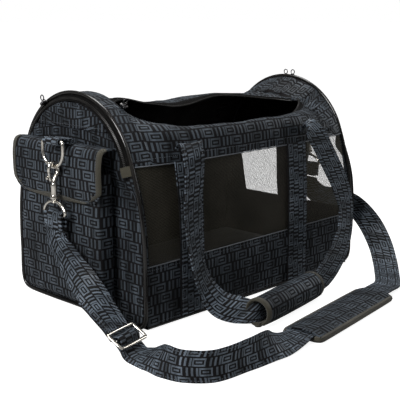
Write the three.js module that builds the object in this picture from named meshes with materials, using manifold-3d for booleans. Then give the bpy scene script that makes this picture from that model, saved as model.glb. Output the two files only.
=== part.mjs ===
// A soft-sided pet carrier bag: jacquard panels and mesh windows sewn between two arched ends,
// a slit top zip that stands open, an arched zip door in each end, a flap pocket on the left end,
// two carry handles and a shoulder strap with snap hooks. Millimetres, +X along the bag's length,
// -Y the front, +Z up, origin on the floor under the middle of the base.
import * as THREE from "three";
import { mergeVertices } from "three/addons/utils/BufferGeometryUtils.js";
import Module from "manifold-3d";

const wasm = await Module();
wasm.setup();

// ---- driving dimensions -------------------------------------------------------------------
const LENGTH = 446; // between the two end pipings
const HALF_DEPTH = 138; // base and lower walls, from the middle to the outer face
const CROWN_RADIUS = 120; // the round top of each arched end
const CROWN_Z = 181; // height of that round's centre
const FLANK_Z = 93; // the walls lean inwards above this height
const SHOULDER_Z = 216; // the flank meets the round crown here
const FABRIC = 2.4; // padded jacquard
const MESH = 1.2; // knitted net of the windows
const WEBBING = 2.6; // strips on the walls and the legs of the handles
const STRAP_WIDTH = 38; // shoulder strap
const HANDLE_WIDTH = 32; // legs of the carry handles
const PIPING_RADIUS = 2.5; // vinyl over a cord, round both ends
const SEAM_GAP = 0.5; // clearance between panels that are sewn edge to edge
const BAND_LOW_Z = 85; // top of the lower jacquard band
const BAND_HIGH_Z = 215; // bottom of the top jacquard band
const BASE_Z = 6; // bottom edge of the walls
const END_CORNER = 16; // the lower corners of each end are rounded
const FLANK_LEAN = 23.2; // how far the flanks lean in by the shoulder
const WALL_LEAN = 9; // how far the long walls lean in between the ends
const FOLD_Z = 254; // each end door folds along this height
const ZIP_STOP_Z = 212; // the end zips stop at this height on both flanks
const DOOR_RADIUS = 108; // inner edge of the zip that runs round each crown
const SLIT_Y = -62; // the top zip runs lengthwise on this line
const SLIT_MIN_X = -195; // left end of the open slit
const SLIT_MAX_X = 178; // right end of the open slit
const RING_X = 271; // the shoulder strap's rings and hooks hang in these planes
const RING_Y = -15; // the hardware hangs a little in front of the middle
const RING_BAR_Z = 242; // straight bar of each ring, held by its webbing tab

const HALF = LENGTH / 2;
const bag = new THREE.Group();

// ---- materials ----------------------------------------------------------------------------
const look = (color, roughness, metalness = 0) =>
  new THREE.MeshStandardMaterial({ color, roughness, metalness });
const JACQUARD = () => look(0x2a2c33, 0.55);
const NET = () => look(0x1d1c16, 0.85);
const LINING = () => look(0x1c1216, 0.6);
const BINDING = () => look(0x3c3a30, 0.7);
const VINYL = () => look(0x0c0c0e, 0.25);
const ZIP = () => look(0x101012, 0.5);
const GUNMETAL = () => look(0x2c2c30, 0.35, 0.9);
const NICKEL = () => look(0xd2d0ca, 0.18, 1);
const FLEECE = () => look(0x4a4642, 0.95);

// ---- helpers ------------------------------------------------------------------------------
const lerp = THREE.MathUtils.lerp;
const smooth = THREE.MathUtils.smoothstep;
const clamp = THREE.MathUtils.clamp;
const vec = (x, y, z) => new THREE.Vector3(x, y, z);
const degrees = THREE.MathUtils.degToRad;

function add(name, geometry, material) {
  const mesh = new THREE.Mesh(geometry, material);
  mesh.name = name;
  bag.add(mesh);
  return mesh;
}

// An indexed geometry from flat lists of coordinates and of corner numbers.
function gridGeometry(positions, faces) {
  const geometry = new THREE.BufferGeometry();
  geometry.setAttribute("position", new THREE.Float32BufferAttribute(positions, 3));
  geometry.setIndex(faces);
  geometry.computeVertexNormals();
  return geometry;
}

// A cloth panel of even thickness: surface(u, v) is its middle, columns and rows set the grid.
function panel(surface, columns, rows, thickness) {
  const positions = [];
  const faces = [];
  const at = (u, v) => surface(clamp(u, 0, 1), clamp(v, 0, 1));
  const step = 0.004;
  for (const side of [0.5, -0.5])
    for (let i = 0; i <= columns; i++)
      for (let j = 0; j <= rows; j++) {
        const u = i / columns;
        const v = j / rows;
        const along = at(u + step, v).sub(at(u - step, v));
        const across = at(u, v + step).sub(at(u, v - step));
        const normal = along.cross(across).normalize();
        positions.push(...at(u, v).addScaledVector(normal, side * thickness).toArray());
      }
  const layer = (columns + 1) * (rows + 1);
  const id = (side, i, j) => side * layer + i * (rows + 1) + j;
  const quad = (a, b, c, d) => faces.push(a, b, c, a, c, d);
  for (let i = 0; i < columns; i++)
    for (let j = 0; j < rows; j++) {
      quad(id(0, i, j), id(0, i + 1, j), id(0, i + 1, j + 1), id(0, i, j + 1));
      quad(id(1, i, j), id(1, i, j + 1), id(1, i + 1, j + 1), id(1, i + 1, j));
    }
  for (let i = 0; i < columns; i++) {
    quad(id(0, i, 0), id(1, i, 0), id(1, i + 1, 0), id(0, i + 1, 0));
    quad(id(0, i, rows), id(0, i + 1, rows), id(1, i + 1, rows), id(1, i, rows));
  }
  for (let j = 0; j < rows; j++) {
    quad(id(0, 0, j), id(0, 0, j + 1), id(1, 0, j + 1), id(1, 0, j));
    quad(id(0, columns, j), id(1, columns, j), id(1, columns, j + 1), id(0, columns, j + 1));
  }
  return gridGeometry(positions, faces);
}

// A flat strap: a rectangular section swept through points, each with its own width direction.
function ribbon(stations, width, thickness, steps) {
  const path = new THREE.CatmullRomCurve3(stations.map((s) => vec(...s[0])), false, "centripetal");
  const twist = new THREE.CatmullRomCurve3(stations.map((s) => vec(...s[1])), false, "centripetal");
  const section = (u) => {
    const t = path.getUtoTmapping(u);
    const along = path.getTangent(t);
    const side = twist.getPoint(clamp(t, 0, 1));
    side.addScaledVector(along, -side.dot(along)).normalize();
    const out = along.clone().cross(side);
    const middle = path.getPoint(t);
    return [[-1, -1], [1, -1], [1, 1], [-1, 1]].map(([a, b]) =>
      middle.clone().addScaledVector(side, (a * width) / 2).addScaledVector(out, (b * thickness) / 2));
  };
  return sweep(Array.from({ length: steps + 1 }, (_, i) => section(i / steps)), false);
}

// Rings of points joined one after another, with end caps unless the sweep closes on itself.
function sweep(rings, closed) {
  const sides = rings[0].length;
  const positions = rings.flat().flatMap((p) => p.toArray());
  const faces = [];
  const count = rings.length;
  for (let i = 0; i < (closed ? count : count - 1); i++)
    for (let j = 0; j < sides; j++) {
      const k = (j + 1) % sides;
      const next = (i + 1) % count;
      faces.push(i * sides + j, i * sides + k, next * sides + k);
      faces.push(i * sides + j, next * sides + k, next * sides + j);
    }
  for (let j = 1; !closed && j < sides - 1; j++) {
    faces.push(0, j + 1, j);
    faces.push((count - 1) * sides, (count - 1) * sides + j, (count - 1) * sides + j + 1);
  }
  return gridGeometry(positions, faces);
}

// A round wire along a curve.
function wire(curve, radius, steps, sides = 8) {
  const closed = curve.closed === true;
  const frames = curve.computeFrenetFrames(steps, closed);
  const rings = [];
  for (let i = 0; i < (closed ? steps : steps + 1); i++) {
    const middle = curve.getPointAt(i / steps);
    rings.push(Array.from({ length: sides }, (_, j) => {
      const turn = (2 * Math.PI * j) / sides;
      return middle.clone().addScaledVector(frames.normals[i], radius * Math.cos(turn))
        .addScaledVector(frames.binormals[i], radius * Math.sin(turn));
    }));
  }
  return sweep(rings, closed);
}

const loopOf = (points) => new THREE.CatmullRomCurve3(points, true, "centripetal");
const pathOf = (points) => new THREE.CatmullRomCurve3(points, false, "centripetal");

// Booleans.
function solid(geometry) {
  const clean = geometry.clone();
  clean.deleteAttribute("normal");
  clean.deleteAttribute("uv");
  const merged = mergeVertices(clean, 1e-4);
  return new wasm.Manifold(new wasm.Mesh({
    numProp: 3,
    vertProperties: merged.attributes.position.array,
    triVerts: new Uint32Array(merged.index.array),
  }));
}
function geometryOf(manifold) {
  const mesh = manifold.getMesh();
  const geometry = new THREE.BufferGeometry();
  geometry.setAttribute("position", new THREE.BufferAttribute(mesh.vertProperties, 3));
  geometry.setIndex(new THREE.BufferAttribute(mesh.triVerts, 1));
  geometry.computeVertexNormals();
  return geometry;
}
const join = (...geometries) => geometryOf(geometries.map(solid).reduce((a, b) => a.add(b)));
const cut = (from, ...tools) => geometryOf(tools.map(solid).reduce((a, b) => a.subtract(b), solid(from)));

// A shape drawn in the X-Z plane and extruded from y0 to y1.
function extrudeY(shape, y0, y1, curveSegments = 8) {
  const geometry = new THREE.ExtrudeGeometry(shape, { depth: y1 - y0, bevelEnabled: false, curveSegments });
  geometry.rotateX(Math.PI / 2);
  return geometry.translate(0, y1, 0);
}
// A shape drawn in the X-Y plane and extruded from z0 to z1.
function extrudeZ(shape, z0, z1, curveSegments = 8) {
  return new THREE.ExtrudeGeometry(shape, { depth: z1 - z0, bevelEnabled: false, curveSegments })
    .translate(0, 0, z0);
}
function roundedRect(x0, y0, x1, y1, radius) {
  const shape = new THREE.Shape();
  shape.moveTo(x0 + radius, y0);
  shape.lineTo(x1 - radius, y0).absarc(x1 - radius, y0 + radius, radius, -Math.PI / 2, 0);
  shape.lineTo(x1, y1 - radius).absarc(x1 - radius, y1 - radius, radius, 0, Math.PI / 2);
  shape.lineTo(x0 + radius, y1).absarc(x0 + radius, y1 - radius, radius, Math.PI / 2, Math.PI);
  shape.lineTo(x0, y0 + radius).absarc(x0 + radius, y0 + radius, radius, Math.PI, 1.5 * Math.PI);
  return shape;
}

// ---- the bag's outer form -------------------------------------------------------------------
// Half the bag's depth at a height, on the arched ends.
function archHalf(z) {
  if (z > SHOULDER_Z) return Math.sqrt(Math.max(CROWN_RADIUS ** 2 - (z - CROWN_Z) ** 2, 0));
  const lean = Math.max(z - FLANK_Z, 0) / (SHOULDER_Z - FLANK_Z);
  return HALF_DEPTH - FLANK_LEAN * lean ** 2;
}
// The walls stand straighter between the ends, where nothing pulls them in.
function wallHalf(x, z) {
  const between = 1 - Math.abs(x / HALF) ** 4;
  const straight = HALF_DEPTH - WALL_LEAN * (Math.max(z - FLANK_Z, 0) / 160) ** 2;
  return lerp(archHalf(z), straight, between);
}
const wallEnd = HALF - 3.5;
const wall = (side, z0, z1, inset = 0) => (u, v) => {
  const x = lerp(-wallEnd, wallEnd, u);
  const z = lerp(z0, z1, v);
  return vec(x, side * (wallHalf(x, z) - FABRIC / 2 - inset), z);
};

// How far the slit top has been pulled open at a station: 0 beyond its ends, 1 in the middle.
const slitMiddle = (SLIT_MIN_X + SLIT_MAX_X) / 2;
const slitHalf = (SLIT_MAX_X - SLIT_MIN_X) / 2;
const spread = (x) => Math.max(1 - Math.abs((x - slitMiddle) / slitHalf) ** 2.6, 0) ** 0.5;
// The crown hangs lower towards the right end, then climbs steeply to the right arch.
function sag(x) {
  const tail = Math.max(x - 150, 0) / (HALF - 150);
  return 26 * smooth(x, -150, 150) * (1 - tail ** 2);
}
function crown(x, angle) {
  const y = CROWN_RADIUS * Math.sin(angle);
  const z = CROWN_Z + CROWN_RADIUS * Math.cos(angle);
  return vec(x, y, z - sag(x) * clamp((z - SHOULDER_Z) / 85, 0, 1));
}
const slitAngle = Math.asin(SLIT_Y / CROWN_RADIUS);
const shoulderAngle = Math.acos((BAND_HIGH_Z + SEAM_GAP - CROWN_Z) / CROWN_RADIUS);
const bend = (a, b, c, d, t) => new THREE.CubicBezierCurve3(a, b, c, d).getPoint(t);
// The back lip waves: high near the left, low past the middle, high again before the right tip.
const lipLift = new THREE.SplineCurve([[-195, 0], [-120, 14], [0, 2], [110, -4], [150, 8], [178, 4]]
  .map((p) => new THREE.Vector2(...p)));
const liftAt = (x) => lipLift.getPoint(clamp((x - SLIT_MIN_X) / (SLIT_MAX_X - SLIT_MIN_X), 0, 1)).y;
// Columns crowd towards the slit's rounded ends.
function column(u) {
  if (u < 0.06) return lerp(-wallEnd, SLIT_MIN_X, u / 0.06);
  if (u > 0.9) return lerp(SLIT_MAX_X, wallEnd, (u - 0.9) / 0.1);
  return slitMiddle - slitHalf * Math.cos((Math.PI * (u - 0.06)) / 0.84);
}
// A half of the crown where the zip is shut. Its lower edge stays on the wall's band.
function closedHalf(x, side, root, v) {
  const closed = crown(x, lerp(side * shoulderAngle, slitAngle + side * 0.003, v));
  closed.y += (1 - v) * (root.y - crown(x, side * shoulderAngle).y);
  return closed;
}
function topFront(u, v) {
  const x = column(u);
  const root = vec(x, -wallHalf(x, BAND_HIGH_Z), BAND_HIGH_Z + SEAM_GAP);
  const open = bend(root, vec(x, -133, 258), vec(x, -124, 262), vec(x, -104, 249), v);
  return closedHalf(x, -1, root, v).lerp(open, spread(x));
}
function topBack(u, v) {
  const x = column(u);
  const root = vec(x, wallHalf(x, BAND_HIGH_Z), BAND_HIGH_Z + SEAM_GAP);
  const open = bend(root, vec(x, 133, 262), vec(x, 98, 277), vec(x, 52, 268 + liftAt(x)), v);
  return closedHalf(x, 1, root, v).lerp(open, spread(x));
}
const inwards = (surface) => (u, v) => {
  const p = surface(u, v);
  const middle = vec(p.x, 0, 120);
  return p.add(middle.sub(p).normalize().multiplyScalar(FABRIC / 2));
};

// ---- base -----------------------------------------------------------------------------------
const FLOOR_FABRIC_TOP = 3.2;
const BOARD_TOP = 8;
add("bottom_panel", extrudeZ(roundedRect(-HALF + 4, -HALF_DEPTH + 3, HALF - 4, HALF_DEPTH - 3, 12), 0,
  FLOOR_FABRIC_TOP), JACQUARD());
add("base_board", extrudeZ(roundedRect(-HALF + 9, -HALF_DEPTH + 8, HALF - 9, HALF_DEPTH - 8, 16),
  FLOOR_FABRIC_TOP + 0.3, BOARD_TOP), LINING());
add("floor_mat", extrudeZ(roundedRect(-HALF + 12, -HALF_DEPTH + 11, HALF - 12, HALF_DEPTH - 11, 20),
  BOARD_TOP + 0.3, BOARD_TOP + 14), FLEECE());

// ---- long walls -----------------------------------------------------------------------------
// The front has a mesh window between its two bands; the back is cloth all the way up.
const WEBBING_X = { left: -141, right: 83 };
const WEBBING_BAND = 43;
for (const [name, side] of [["front", -1], ["back", 1]]) {
  add(name + "_lower_panel", panel(wall(side, BASE_Z, BAND_LOW_Z), 14, 4, FABRIC), JACQUARD());
  const [low, high] = [BAND_LOW_Z + SEAM_GAP, BAND_HIGH_Z - 2 * SEAM_GAP];
  if (name === "front") add("front_mesh", panel(wall(side, low, high, 0.4), 14, 5, MESH), NET());
  else add("back_middle_panel", panel(wall(side, low, high), 14, 5, FABRIC), JACQUARD());
  for (const [where, x] of Object.entries(WEBBING_X)) {
    const strip = (u, v) => {
      const across = x + lerp(-0.5, 0.5, u) * WEBBING_BAND;
      const z = lerp(BASE_Z + 2, BAND_HIGH_Z - 2, v);
      return vec(across, side * (wallHalf(across, z) + 0.4 + WEBBING / 2), z);
    };
    add(name + "_webbing_" + where, panel(strip, 2, 6, WEBBING), JACQUARD());
  }
}
add("front_top_panel", panel(inwards(topFront), 40, 7, FABRIC), JACQUARD());
add("back_top_panel", panel(inwards(topBack), 40, 10, FABRIC), JACQUARD());

// The open zip's two halves carry on from the lips, well inside the slit's rounded ends.
const TAPE = 8;
function lipTape(surface) {
  return (u, v) => {
    const place = lerp(0.13, 0.83, u);
    const edge = inwards(surface)(place, 1);
    const along = edge.clone().sub(inwards(surface)(place, 0.93)).normalize();
    return edge.addScaledVector(along, lerp(0.6, TAPE, v));
  };
}
add("top_zip_front", panel(lipTape(topFront), 30, 1, 1.6), ZIP());
add("top_zip_back", panel(lipTape(topBack), 30, 1, 1.6), ZIP());

// ---- ends -----------------------------------------------------------------------------------
// The end panels puff outwards, more so on the right, where no pocket holds them.
const PUFF = { left: 2.5, right: 19 };
const RIM = 6; // the zip band lifts the upper part of each end this far off the piping
const EDGE = 3.8; // the end panels stop this far inside the outer form
function endHalf(z) {
  const below = Math.max(END_CORNER + BASE_Z - z, 0);
  const corner = END_CORNER - Math.sqrt(Math.max(END_CORNER ** 2 - below ** 2, 0));
  const full = archHalf(z) - EDGE - corner;
  const beside = Math.sqrt(Math.max(DOOR_RADIUS ** 2 - (z - CROWN_Z) ** 2, 0)) - 0.4;
  return lerp(full, beside, smooth(z, ZIP_STOP_Z - 38, ZIP_STOP_Z - 16));
}
function puff(where, y, z) {
  const level = z > CROWN_Z ? Math.hypot(y, z - CROWN_Z) / DOOR_RADIUS : Math.abs(y) / endHalf(z);
  const height = Math.exp(-(((z - 205) / 80) ** 2));
  const rim = RIM * smooth(z, 185, ZIP_STOP_Z);
  return rim + PUFF[where] * height * (1 - Math.min(level, 1) ** 6);
}
const endPanel = (where, z0, z1, inset = 0) => (u, v) => {
  const sign = where === "left" ? -1 : 1;
  const z = lerp(z0, z1, v);
  const y = lerp(-1, 1, u) * endHalf(z);
  return vec(sign * (HALF - inset + puff(where, y, z)), y, z);
};
const DOOR_TOP = CROWN_Z + DOOR_RADIUS - 0.8;
// The door's lower corners are eased, so that it folds down past the zip.
function doorPanel(where) {
  const sign = where === "left" ? -1 : 1;
  return (u, v) => {
    const z = lerp(FOLD_Z + SEAM_GAP, DOOR_TOP, 1 - (1 - v) ** 2);
    const ease = 0.6 + 3.4 * (1 - smooth(z, FOLD_Z, FOLD_Z + 14));
    const y = lerp(-1, 1, u) * (Math.sqrt(DOOR_RADIUS ** 2 - (z - CROWN_Z) ** 2) - ease);
    return vec(sign * (HALF + puff(where, y, z)), y, z);
  };
}
for (const where of ["left", "right"]) {
  const sign = where === "left" ? -1 : 1;
  if (where === "left") {
    add("left_end_panel", panel(endPanel(where, BASE_Z, FOLD_Z - SEAM_GAP), 12, 12, FABRIC), JACQUARD());
  } else {
    add("right_end_lower_panel", panel(endPanel(where, BASE_Z, 92), 12, 4, FABRIC), JACQUARD());
    add("right_end_mesh", panel(endPanel(where, 92 + SEAM_GAP, ZIP_STOP_Z, 0.4), 12, 6, MESH), NET());
    add("right_end_upper_panel",
      panel(endPanel(where, ZIP_STOP_Z + SEAM_GAP, FOLD_Z - SEAM_GAP), 12, 2, FABRIC), JACQUARD());
    const strip = (u, v) => {
      const y = RING_Y + lerp(-0.5, 0.5, u) * WEBBING_BAND;
      const z = lerp(BASE_Z + 4, FOLD_Z - 3, v);
      return vec(HALF + puff(where, y, z) + FABRIC / 2 + 1 + WEBBING / 2, y, z);
    };
    add("right_end_webbing", panel(strip, 2, 12, WEBBING), JACQUARD());
  }
  add(where + "_door", panel(doorPanel(where), 12, 6, FABRIC), JACQUARD());

  // The zip runs round the crown between the door and the piping.
  const reach = Math.acos((ZIP_STOP_Z - CROWN_Z) / CROWN_RADIUS);
  const zipBand = (u, v) => {
    const angle = lerp(-reach, reach, u);
    const radius = lerp(CROWN_RADIUS - EDGE, DOOR_RADIUS + 0.6, v);
    return vec(sign * (HALF + (RIM + 0.5) * v), radius * Math.sin(angle),
      CROWN_Z + radius * Math.cos(angle));
  };
  add(where + "_end_zip", panel(zipBand, 28, 1, 1.8), ZIP());

  // Glossy piping follows the whole edge of the end.
  const outline = [];
  const flank = [END_CORNER + 2, 60, FLANK_Z, 130, 170];
  for (const z of flank) outline.push([archHalf(z), z]);
  for (let turn = 17; turn <= 163; turn += 12.1667)
    outline.push([CROWN_RADIUS * Math.cos(degrees(turn)),
      CROWN_Z + CROWN_RADIUS * Math.sin(degrees(turn))]);
  for (const z of flank.reverse()) outline.push([-archHalf(z), z]);
  outline.push([-HALF_DEPTH + 5, 7], [-HALF_DEPTH + END_CORNER, 2.9], [0, 2.9]);
  outline.push([HALF_DEPTH - END_CORNER, 2.9], [HALF_DEPTH - 5, 7]);
  add(where + "_piping", wire(loopOf(outline.map(([y, z]) => vec(sign * (HALF + 0.1), y, z))),
    PIPING_RADIUS, 64), VINYL());
}

// ---- zip sliders ----------------------------------------------------------------------------
// A slider body with a round pull ring that hangs from its bridge; built about its own origin.
const SLIDER = { length: 11, width: 8, height: 4 };
function sliderBody() {
  const body = new THREE.BoxGeometry(SLIDER.length, SLIDER.width, SLIDER.height, 1, 1, 1);
  const bridge = new THREE.BoxGeometry(5, 1.6, 2.2).translate(0, 0, SLIDER.height / 2 + 1);
  return join(body, bridge);
}
function pullRing() {
  const ring = new THREE.TorusGeometry(3.6, 0.8, 6, 14);
  return ring.rotateX(Math.PI / 2);
}
function placeSlider(name, place) {
  const group = new THREE.Group();
  place(group);
  bag.add(group);
  const body = new THREE.Mesh(sliderBody(), GUNMETAL());
  body.name = name + "_slider";
  const pull = new THREE.Mesh(pullRing(), GUNMETAL());
  pull.name = name + "_pull";
  pull.position.set(0, 0, SLIDER.height / 2 + 6.6);
  group.add(body, pull);
}
const SLIDER_RADIUS = CROWN_RADIUS - 2;
function onCrown(sign, angle) {
  return (group) => {
    group.position.set(sign * (HALF + 7), SLIDER_RADIUS * Math.sin(angle),
      CROWN_Z + SLIDER_RADIUS * Math.cos(angle));
    group.rotation.set(-angle, 0, Math.PI / 2, "XYZ");
  };
}
placeSlider("left_zip", onCrown(-1, degrees(30)));
placeSlider("right_zip_front", onCrown(1, degrees(-3.4)));
placeSlider("right_zip_back", onCrown(1, degrees(3.4)));
placeSlider("top_zip", (group) => {
  group.position.set(SLIT_MIN_X + 2, SLIT_Y - 4, 285.4);
  group.rotation.set(degrees(32), 0, 0);
});

// ---- pocket on the left end --------------------------------------------------------------------
const POCKET = { back: -HALF - 9.8, face: -HALF - 32, half: 86, bottom: 20, top: 204, corner: 9 };
const POCKET_WALL = 2.2;
add("pocket_body", cut(
  extrudeZ(roundedRect(POCKET.face, -POCKET.half, POCKET.back, POCKET.half, POCKET.corner),
    POCKET.bottom, POCKET.top, 4),
  extrudeZ(roundedRect(POCKET.face + POCKET_WALL, -POCKET.half + POCKET_WALL,
    POCKET.back - POCKET_WALL, POCKET.half - POCKET_WALL, POCKET.corner - POCKET_WALL),
    POCKET.bottom + POCKET_WALL, POCKET.top + 1, 4)), JACQUARD());

const FLAP = { root: -HALF - 10.4, face: -HALF - 35.5, z: 235, low: 165, half: 96 };
const flapLine = pathOf([
  vec(FLAP.root, 0, FLAP.z), vec(FLAP.face + 12, 0, FLAP.z + 0.5), vec(FLAP.face + 2, 0, FLAP.z - 3),
  vec(FLAP.face, 0, FLAP.z - 14), vec(FLAP.face - 1, 0, FLAP.z - 40), vec(FLAP.face, 0, FLAP.low)]);
function flapSurface(u, v) {
  const p = flapLine.getPointAt(v);
  const rounding = v > 0.88 ? 10 * (1 - Math.sqrt(1 - ((v - 0.88) / 0.12) ** 2)) : 0;
  p.y = lerp(-1, 1, u) * (FLAP.half - rounding);
  return p;
}
add("pocket_flap", panel(flapSurface, 8, 18, 2.6), JACQUARD());

// ---- shoulder strap hardware ---------------------------------------------------------------------
const RING_WIRE = 2.25;
const RING_HALF = 21.8;
const RING_LEG = 12;
const HOOK_WIRE = 2.5;
const HOOK_RADIUS = 7.4;
const LOOP_BAR_Z = 145;
const LOOP_HALF = 22;
for (const [where, sign] of [["left", -1], ["right", 1]]) {
  const plane = sign * RING_X;
  const at = (x, y, z) => vec(plane + sign * x, RING_Y + y, z);

  // Webbing tab: folded round the ring's bar, its tail sewn to the end panel.
  const back = RING_X - HALF - 26;
  const tab = new THREE.Shape();
  tab.moveTo(0, 5);
  tab.absarc(0, 0, 5, Math.PI / 2, -Math.PI / 2, true);
  tab.lineTo(-8, -2.5).lineTo(-back, -2.5).lineTo(-back, 2.5).lineTo(-8, 2.5);
  tab.holes.push(new THREE.Path().absarc(0, 0, RING_WIRE + 0.6, 0, 2 * Math.PI));
  const tabSolid = extrudeY(tab, -17, 17, 8);
  if (sign < 0) tabSolid.rotateZ(Math.PI);
  add(where + "_ring_tab", tabSolid.translate(plane, RING_Y, RING_BAR_Z), JACQUARD());

  // D-ring.
  const ringPoints = [];
  for (const y of [-18.5, -17, 0, 17, 18.5]) ringPoints.push(at(0, y, RING_BAR_Z));
  ringPoints.push(at(0, RING_HALF, RING_BAR_Z - 4));
  for (let turn = 0; turn <= 180; turn += 22.5)
    ringPoints.push(at(0, RING_HALF * Math.cos(degrees(turn)),
      RING_BAR_Z - RING_LEG - RING_HALF * Math.sin(degrees(turn))));
  ringPoints.push(at(0, -RING_HALF, RING_BAR_Z - 4));
  add(where + "_d_ring", wire(loopOf(ringPoints), RING_WIRE, 48), NICKEL());

  // Snap hook: a bent nose over the ring, a slim neck and a round body.
  const eye = RING_BAR_Z - RING_LEG - RING_HALF + RING_WIRE + 0.4 + HOOK_WIRE - HOOK_RADIUS;
  const nose = [at(HOOK_RADIUS, 0, eye - 4)];
  for (let turn = 0; turn <= 180; turn += 30)
    nose.push(at(HOOK_RADIUS * Math.cos(degrees(turn)), 0, eye + HOOK_RADIUS * Math.sin(degrees(turn))));
  nose.push(at(-HOOK_RADIUS + 1, 0, eye - 6), at(-2.5, 0, eye - 12), at(0, 0, eye - 18),
    at(0, 0, eye - 26));
  const hookBody = new THREE.LatheGeometry([[0, -40], [5.2, -40], [5.2, -34], [4.2, -30], [4.2, -20],
    [3, -17], [0, -17]].map((p) => new THREE.Vector2(...p)), 16).rotateX(Math.PI / 2);
  hookBody.translate(plane, RING_Y, eye);
  add(where + "_hook", join(wire(pathOf(nose), HOOK_WIRE, 30), hookBody), NICKEL());

  // Sprung gate that closes the nose.
  const gate = pathOf([at(HOOK_RADIUS, 0, eye - 4.7), at(HOOK_RADIUS - 0.6, 0, eye - 10),
    at(HOOK_RADIUS - 2.2, 0, eye - 15.5)]);
  const lug = new THREE.BoxGeometry(3.4, 3.2, 4);
  lug.translate(plane + sign * (HOOK_RADIUS + 2), RING_Y, eye - 11);
  add(where + "_hook_gate", join(wire(gate, 1.7, 6), lug), NICKEL());

  // Swivel eye: a stem turning in the hook's body, and the half-round eye that holds the strap.
  const top = eye - 40.4;
  const eyeLoop = [];
  for (const y of [-20, -18, 0, 18, 20]) eyeLoop.push(at(0, y, LOOP_BAR_Z));
  for (const turn of [20, 55, 90, 125, 160])
    eyeLoop.push(at(0, (LOOP_HALF + 1) * Math.cos(degrees(turn)),
      LOOP_BAR_Z + (top - 3 - LOOP_BAR_Z) * Math.sin(degrees(turn))));
  const stem = new THREE.CylinderGeometry(3.4, 3.8, 5, 12).rotateX(Math.PI / 2);
  stem.translate(plane, RING_Y, top - 2.5);
  add(where + "_swivel", join(wire(loopOf(eyeLoop), 2.2, 36), stem), NICKEL());
}

// ---- shoulder strap ------------------------------------------------------------------------------
// Each end is folded round its swivel's bar and turns with it.
const END_TOP = LOOP_BAR_Z + 5.4;
const END_LOW = 126;
for (const [where, sign] of [["left", -1], ["right", 1]]) {
  const fold = new THREE.Shape();
  fold.moveTo(-3, END_LOW).lineTo(3, END_LOW).lineTo(3.4, LOOP_BAR_Z - 6);
  fold.lineTo(5.4, LOOP_BAR_Z).absarc(0, LOOP_BAR_Z, END_TOP - LOOP_BAR_Z, 0, Math.PI);
  fold.lineTo(-3.4, LOOP_BAR_Z - 6).lineTo(-3, END_LOW);
  fold.holes.push(new THREE.Path().absarc(0, LOOP_BAR_Z, 2.9, 0, 2 * Math.PI, true));
  add("strap_end_" + where, extrudeY(fold, RING_Y - 17.4, RING_Y + 17.4, 6).translate(sign * RING_X, 0, 0),
    JACQUARD());
}
// Route of the strap: middle point, then the direction of its width.
const strapDrop = [
  [[-271, -15, 123.6], [0, -1, 0]], [[-271, -15, 112], [0, -1, 0]], [[-273, -45, 88], [0.1, -1, 0.2]],
  [[-276, -80, 66], [0.5, -0.8, 0.3]], [[-278.5, -112, 47], [0.97, -0.1, 0.1]],
  [[-281, -146, 28], [0.97, 0.22, 0]], [[-283.5, -180, 9], [0.97, 0.22, 0]]];
const strapFloor = [
  [[-283.6, -181, 8.5], [0.97, 0.22, 0]], [[-284.4, -188, 5.2], [0.97, 0.22, 0.05]],
  [[-286, -203, 5.5], [0.95, 0.2, 0.2]], [[-290, -226, 11], [0.8, 0.1, 0.5]],
  [[-297, -252, 17], [0.3, 0, 0.95]], [[-296, -281, 19.5], [0, 0, 1]],
  [[-272, -306, 19.5], [0, 0.05, 1]], [[-217, -312, 19.5], [0, 0.1, 1]],
  [[-175, -309, 17.5], [0, 0.5, 0.85]], [[-150, -304, 12], [0, 0.85, 0.5]],
  [[-124, -299, 8.8], [-0.12, 0.99, 0.04]],
  [[-100, -295, 8.6], [-0.12, 0.99, 0]], [[0, -282, 8.6], [-0.12, 0.99, 0]],
  [[84, -271, 8.6], [-0.12, 0.99, 0]], [[132, -264.8, 8.6], [-0.12, 0.99, 0]]];
const strapRise = [
  [[133, -264.67, 8.6], [-0.12, 0.99, 0]], [[143, -263.4, 8.4], [-0.13, 0.99, 0]],
  [[168, -250, 5.5], [-0.4, 0.9, 0.05]], [[200, -228, 6], [-0.5, 0.86, 0.1]],
  [[236, -200, 15], [-0.6, 0.75, -0.2]], [[256, -176, 36], [-0.6, 0.6, -0.4]],
  [[263, -150, 64], [-0.3, 0.6, -0.7]], [[266, -118, 86], [0, 0.5, -0.85]],
  [[269, -80, 92], [0, 0.3, -0.95]], [[270.5, -46, 92], [0, 0.5, -0.85]],
  [[271, -22, 104], [0, 0.93, -0.35]], [[271, -15, 115], [0, 1, 0]], [[271, -15, 123.6], [0, 1, 0]]];
add("strap_drop", ribbon(strapDrop, STRAP_WIDTH, 6, 26), JACQUARD());
add("strap_floor", ribbon(strapFloor, STRAP_WIDTH, 3, 52), JACQUARD());
add("strap_rise", ribbon(strapRise, STRAP_WIDTH, 3, 40), JACQUARD());

// Three-bar adjuster, lying on the strap just above its lower end.
const adjuster = new THREE.Group();
const [dropFrom, dropTo] = strapDrop.slice(-2).map(([p]) => vec(...p));
const downStrap = dropTo.clone().sub(dropFrom).normalize();
const acrossStrap = vec(0.97, 0.22, 0).normalize();
const offStrap = downStrap.clone().cross(acrossStrap).normalize();
const upStrap = offStrap.clone().cross(acrossStrap).normalize();
adjuster.position.copy(dropFrom).lerp(dropTo, 0.62).addScaledVector(offStrap, 5.4);
adjuster.quaternion.setFromRotationMatrix(new THREE.Matrix4().makeBasis(acrossStrap, upStrap, offStrap));
bag.add(adjuster);
const frameShape = roundedRect(-25, -13, 25, 13, 4);
for (const [y0, y1] of [[-9.4, -1.8], [1.8, 9.4]])
  frameShape.holes.push(new THREE.Path(roundedRect(-21, y0, 21, y1, 1.5).getPoints(3).reverse()));
const frame = new THREE.Mesh(extrudeZ(frameShape, -1.6, 1.6, 3), NICKEL());
frame.name = "strap_slider";
adjuster.add(frame);

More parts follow.
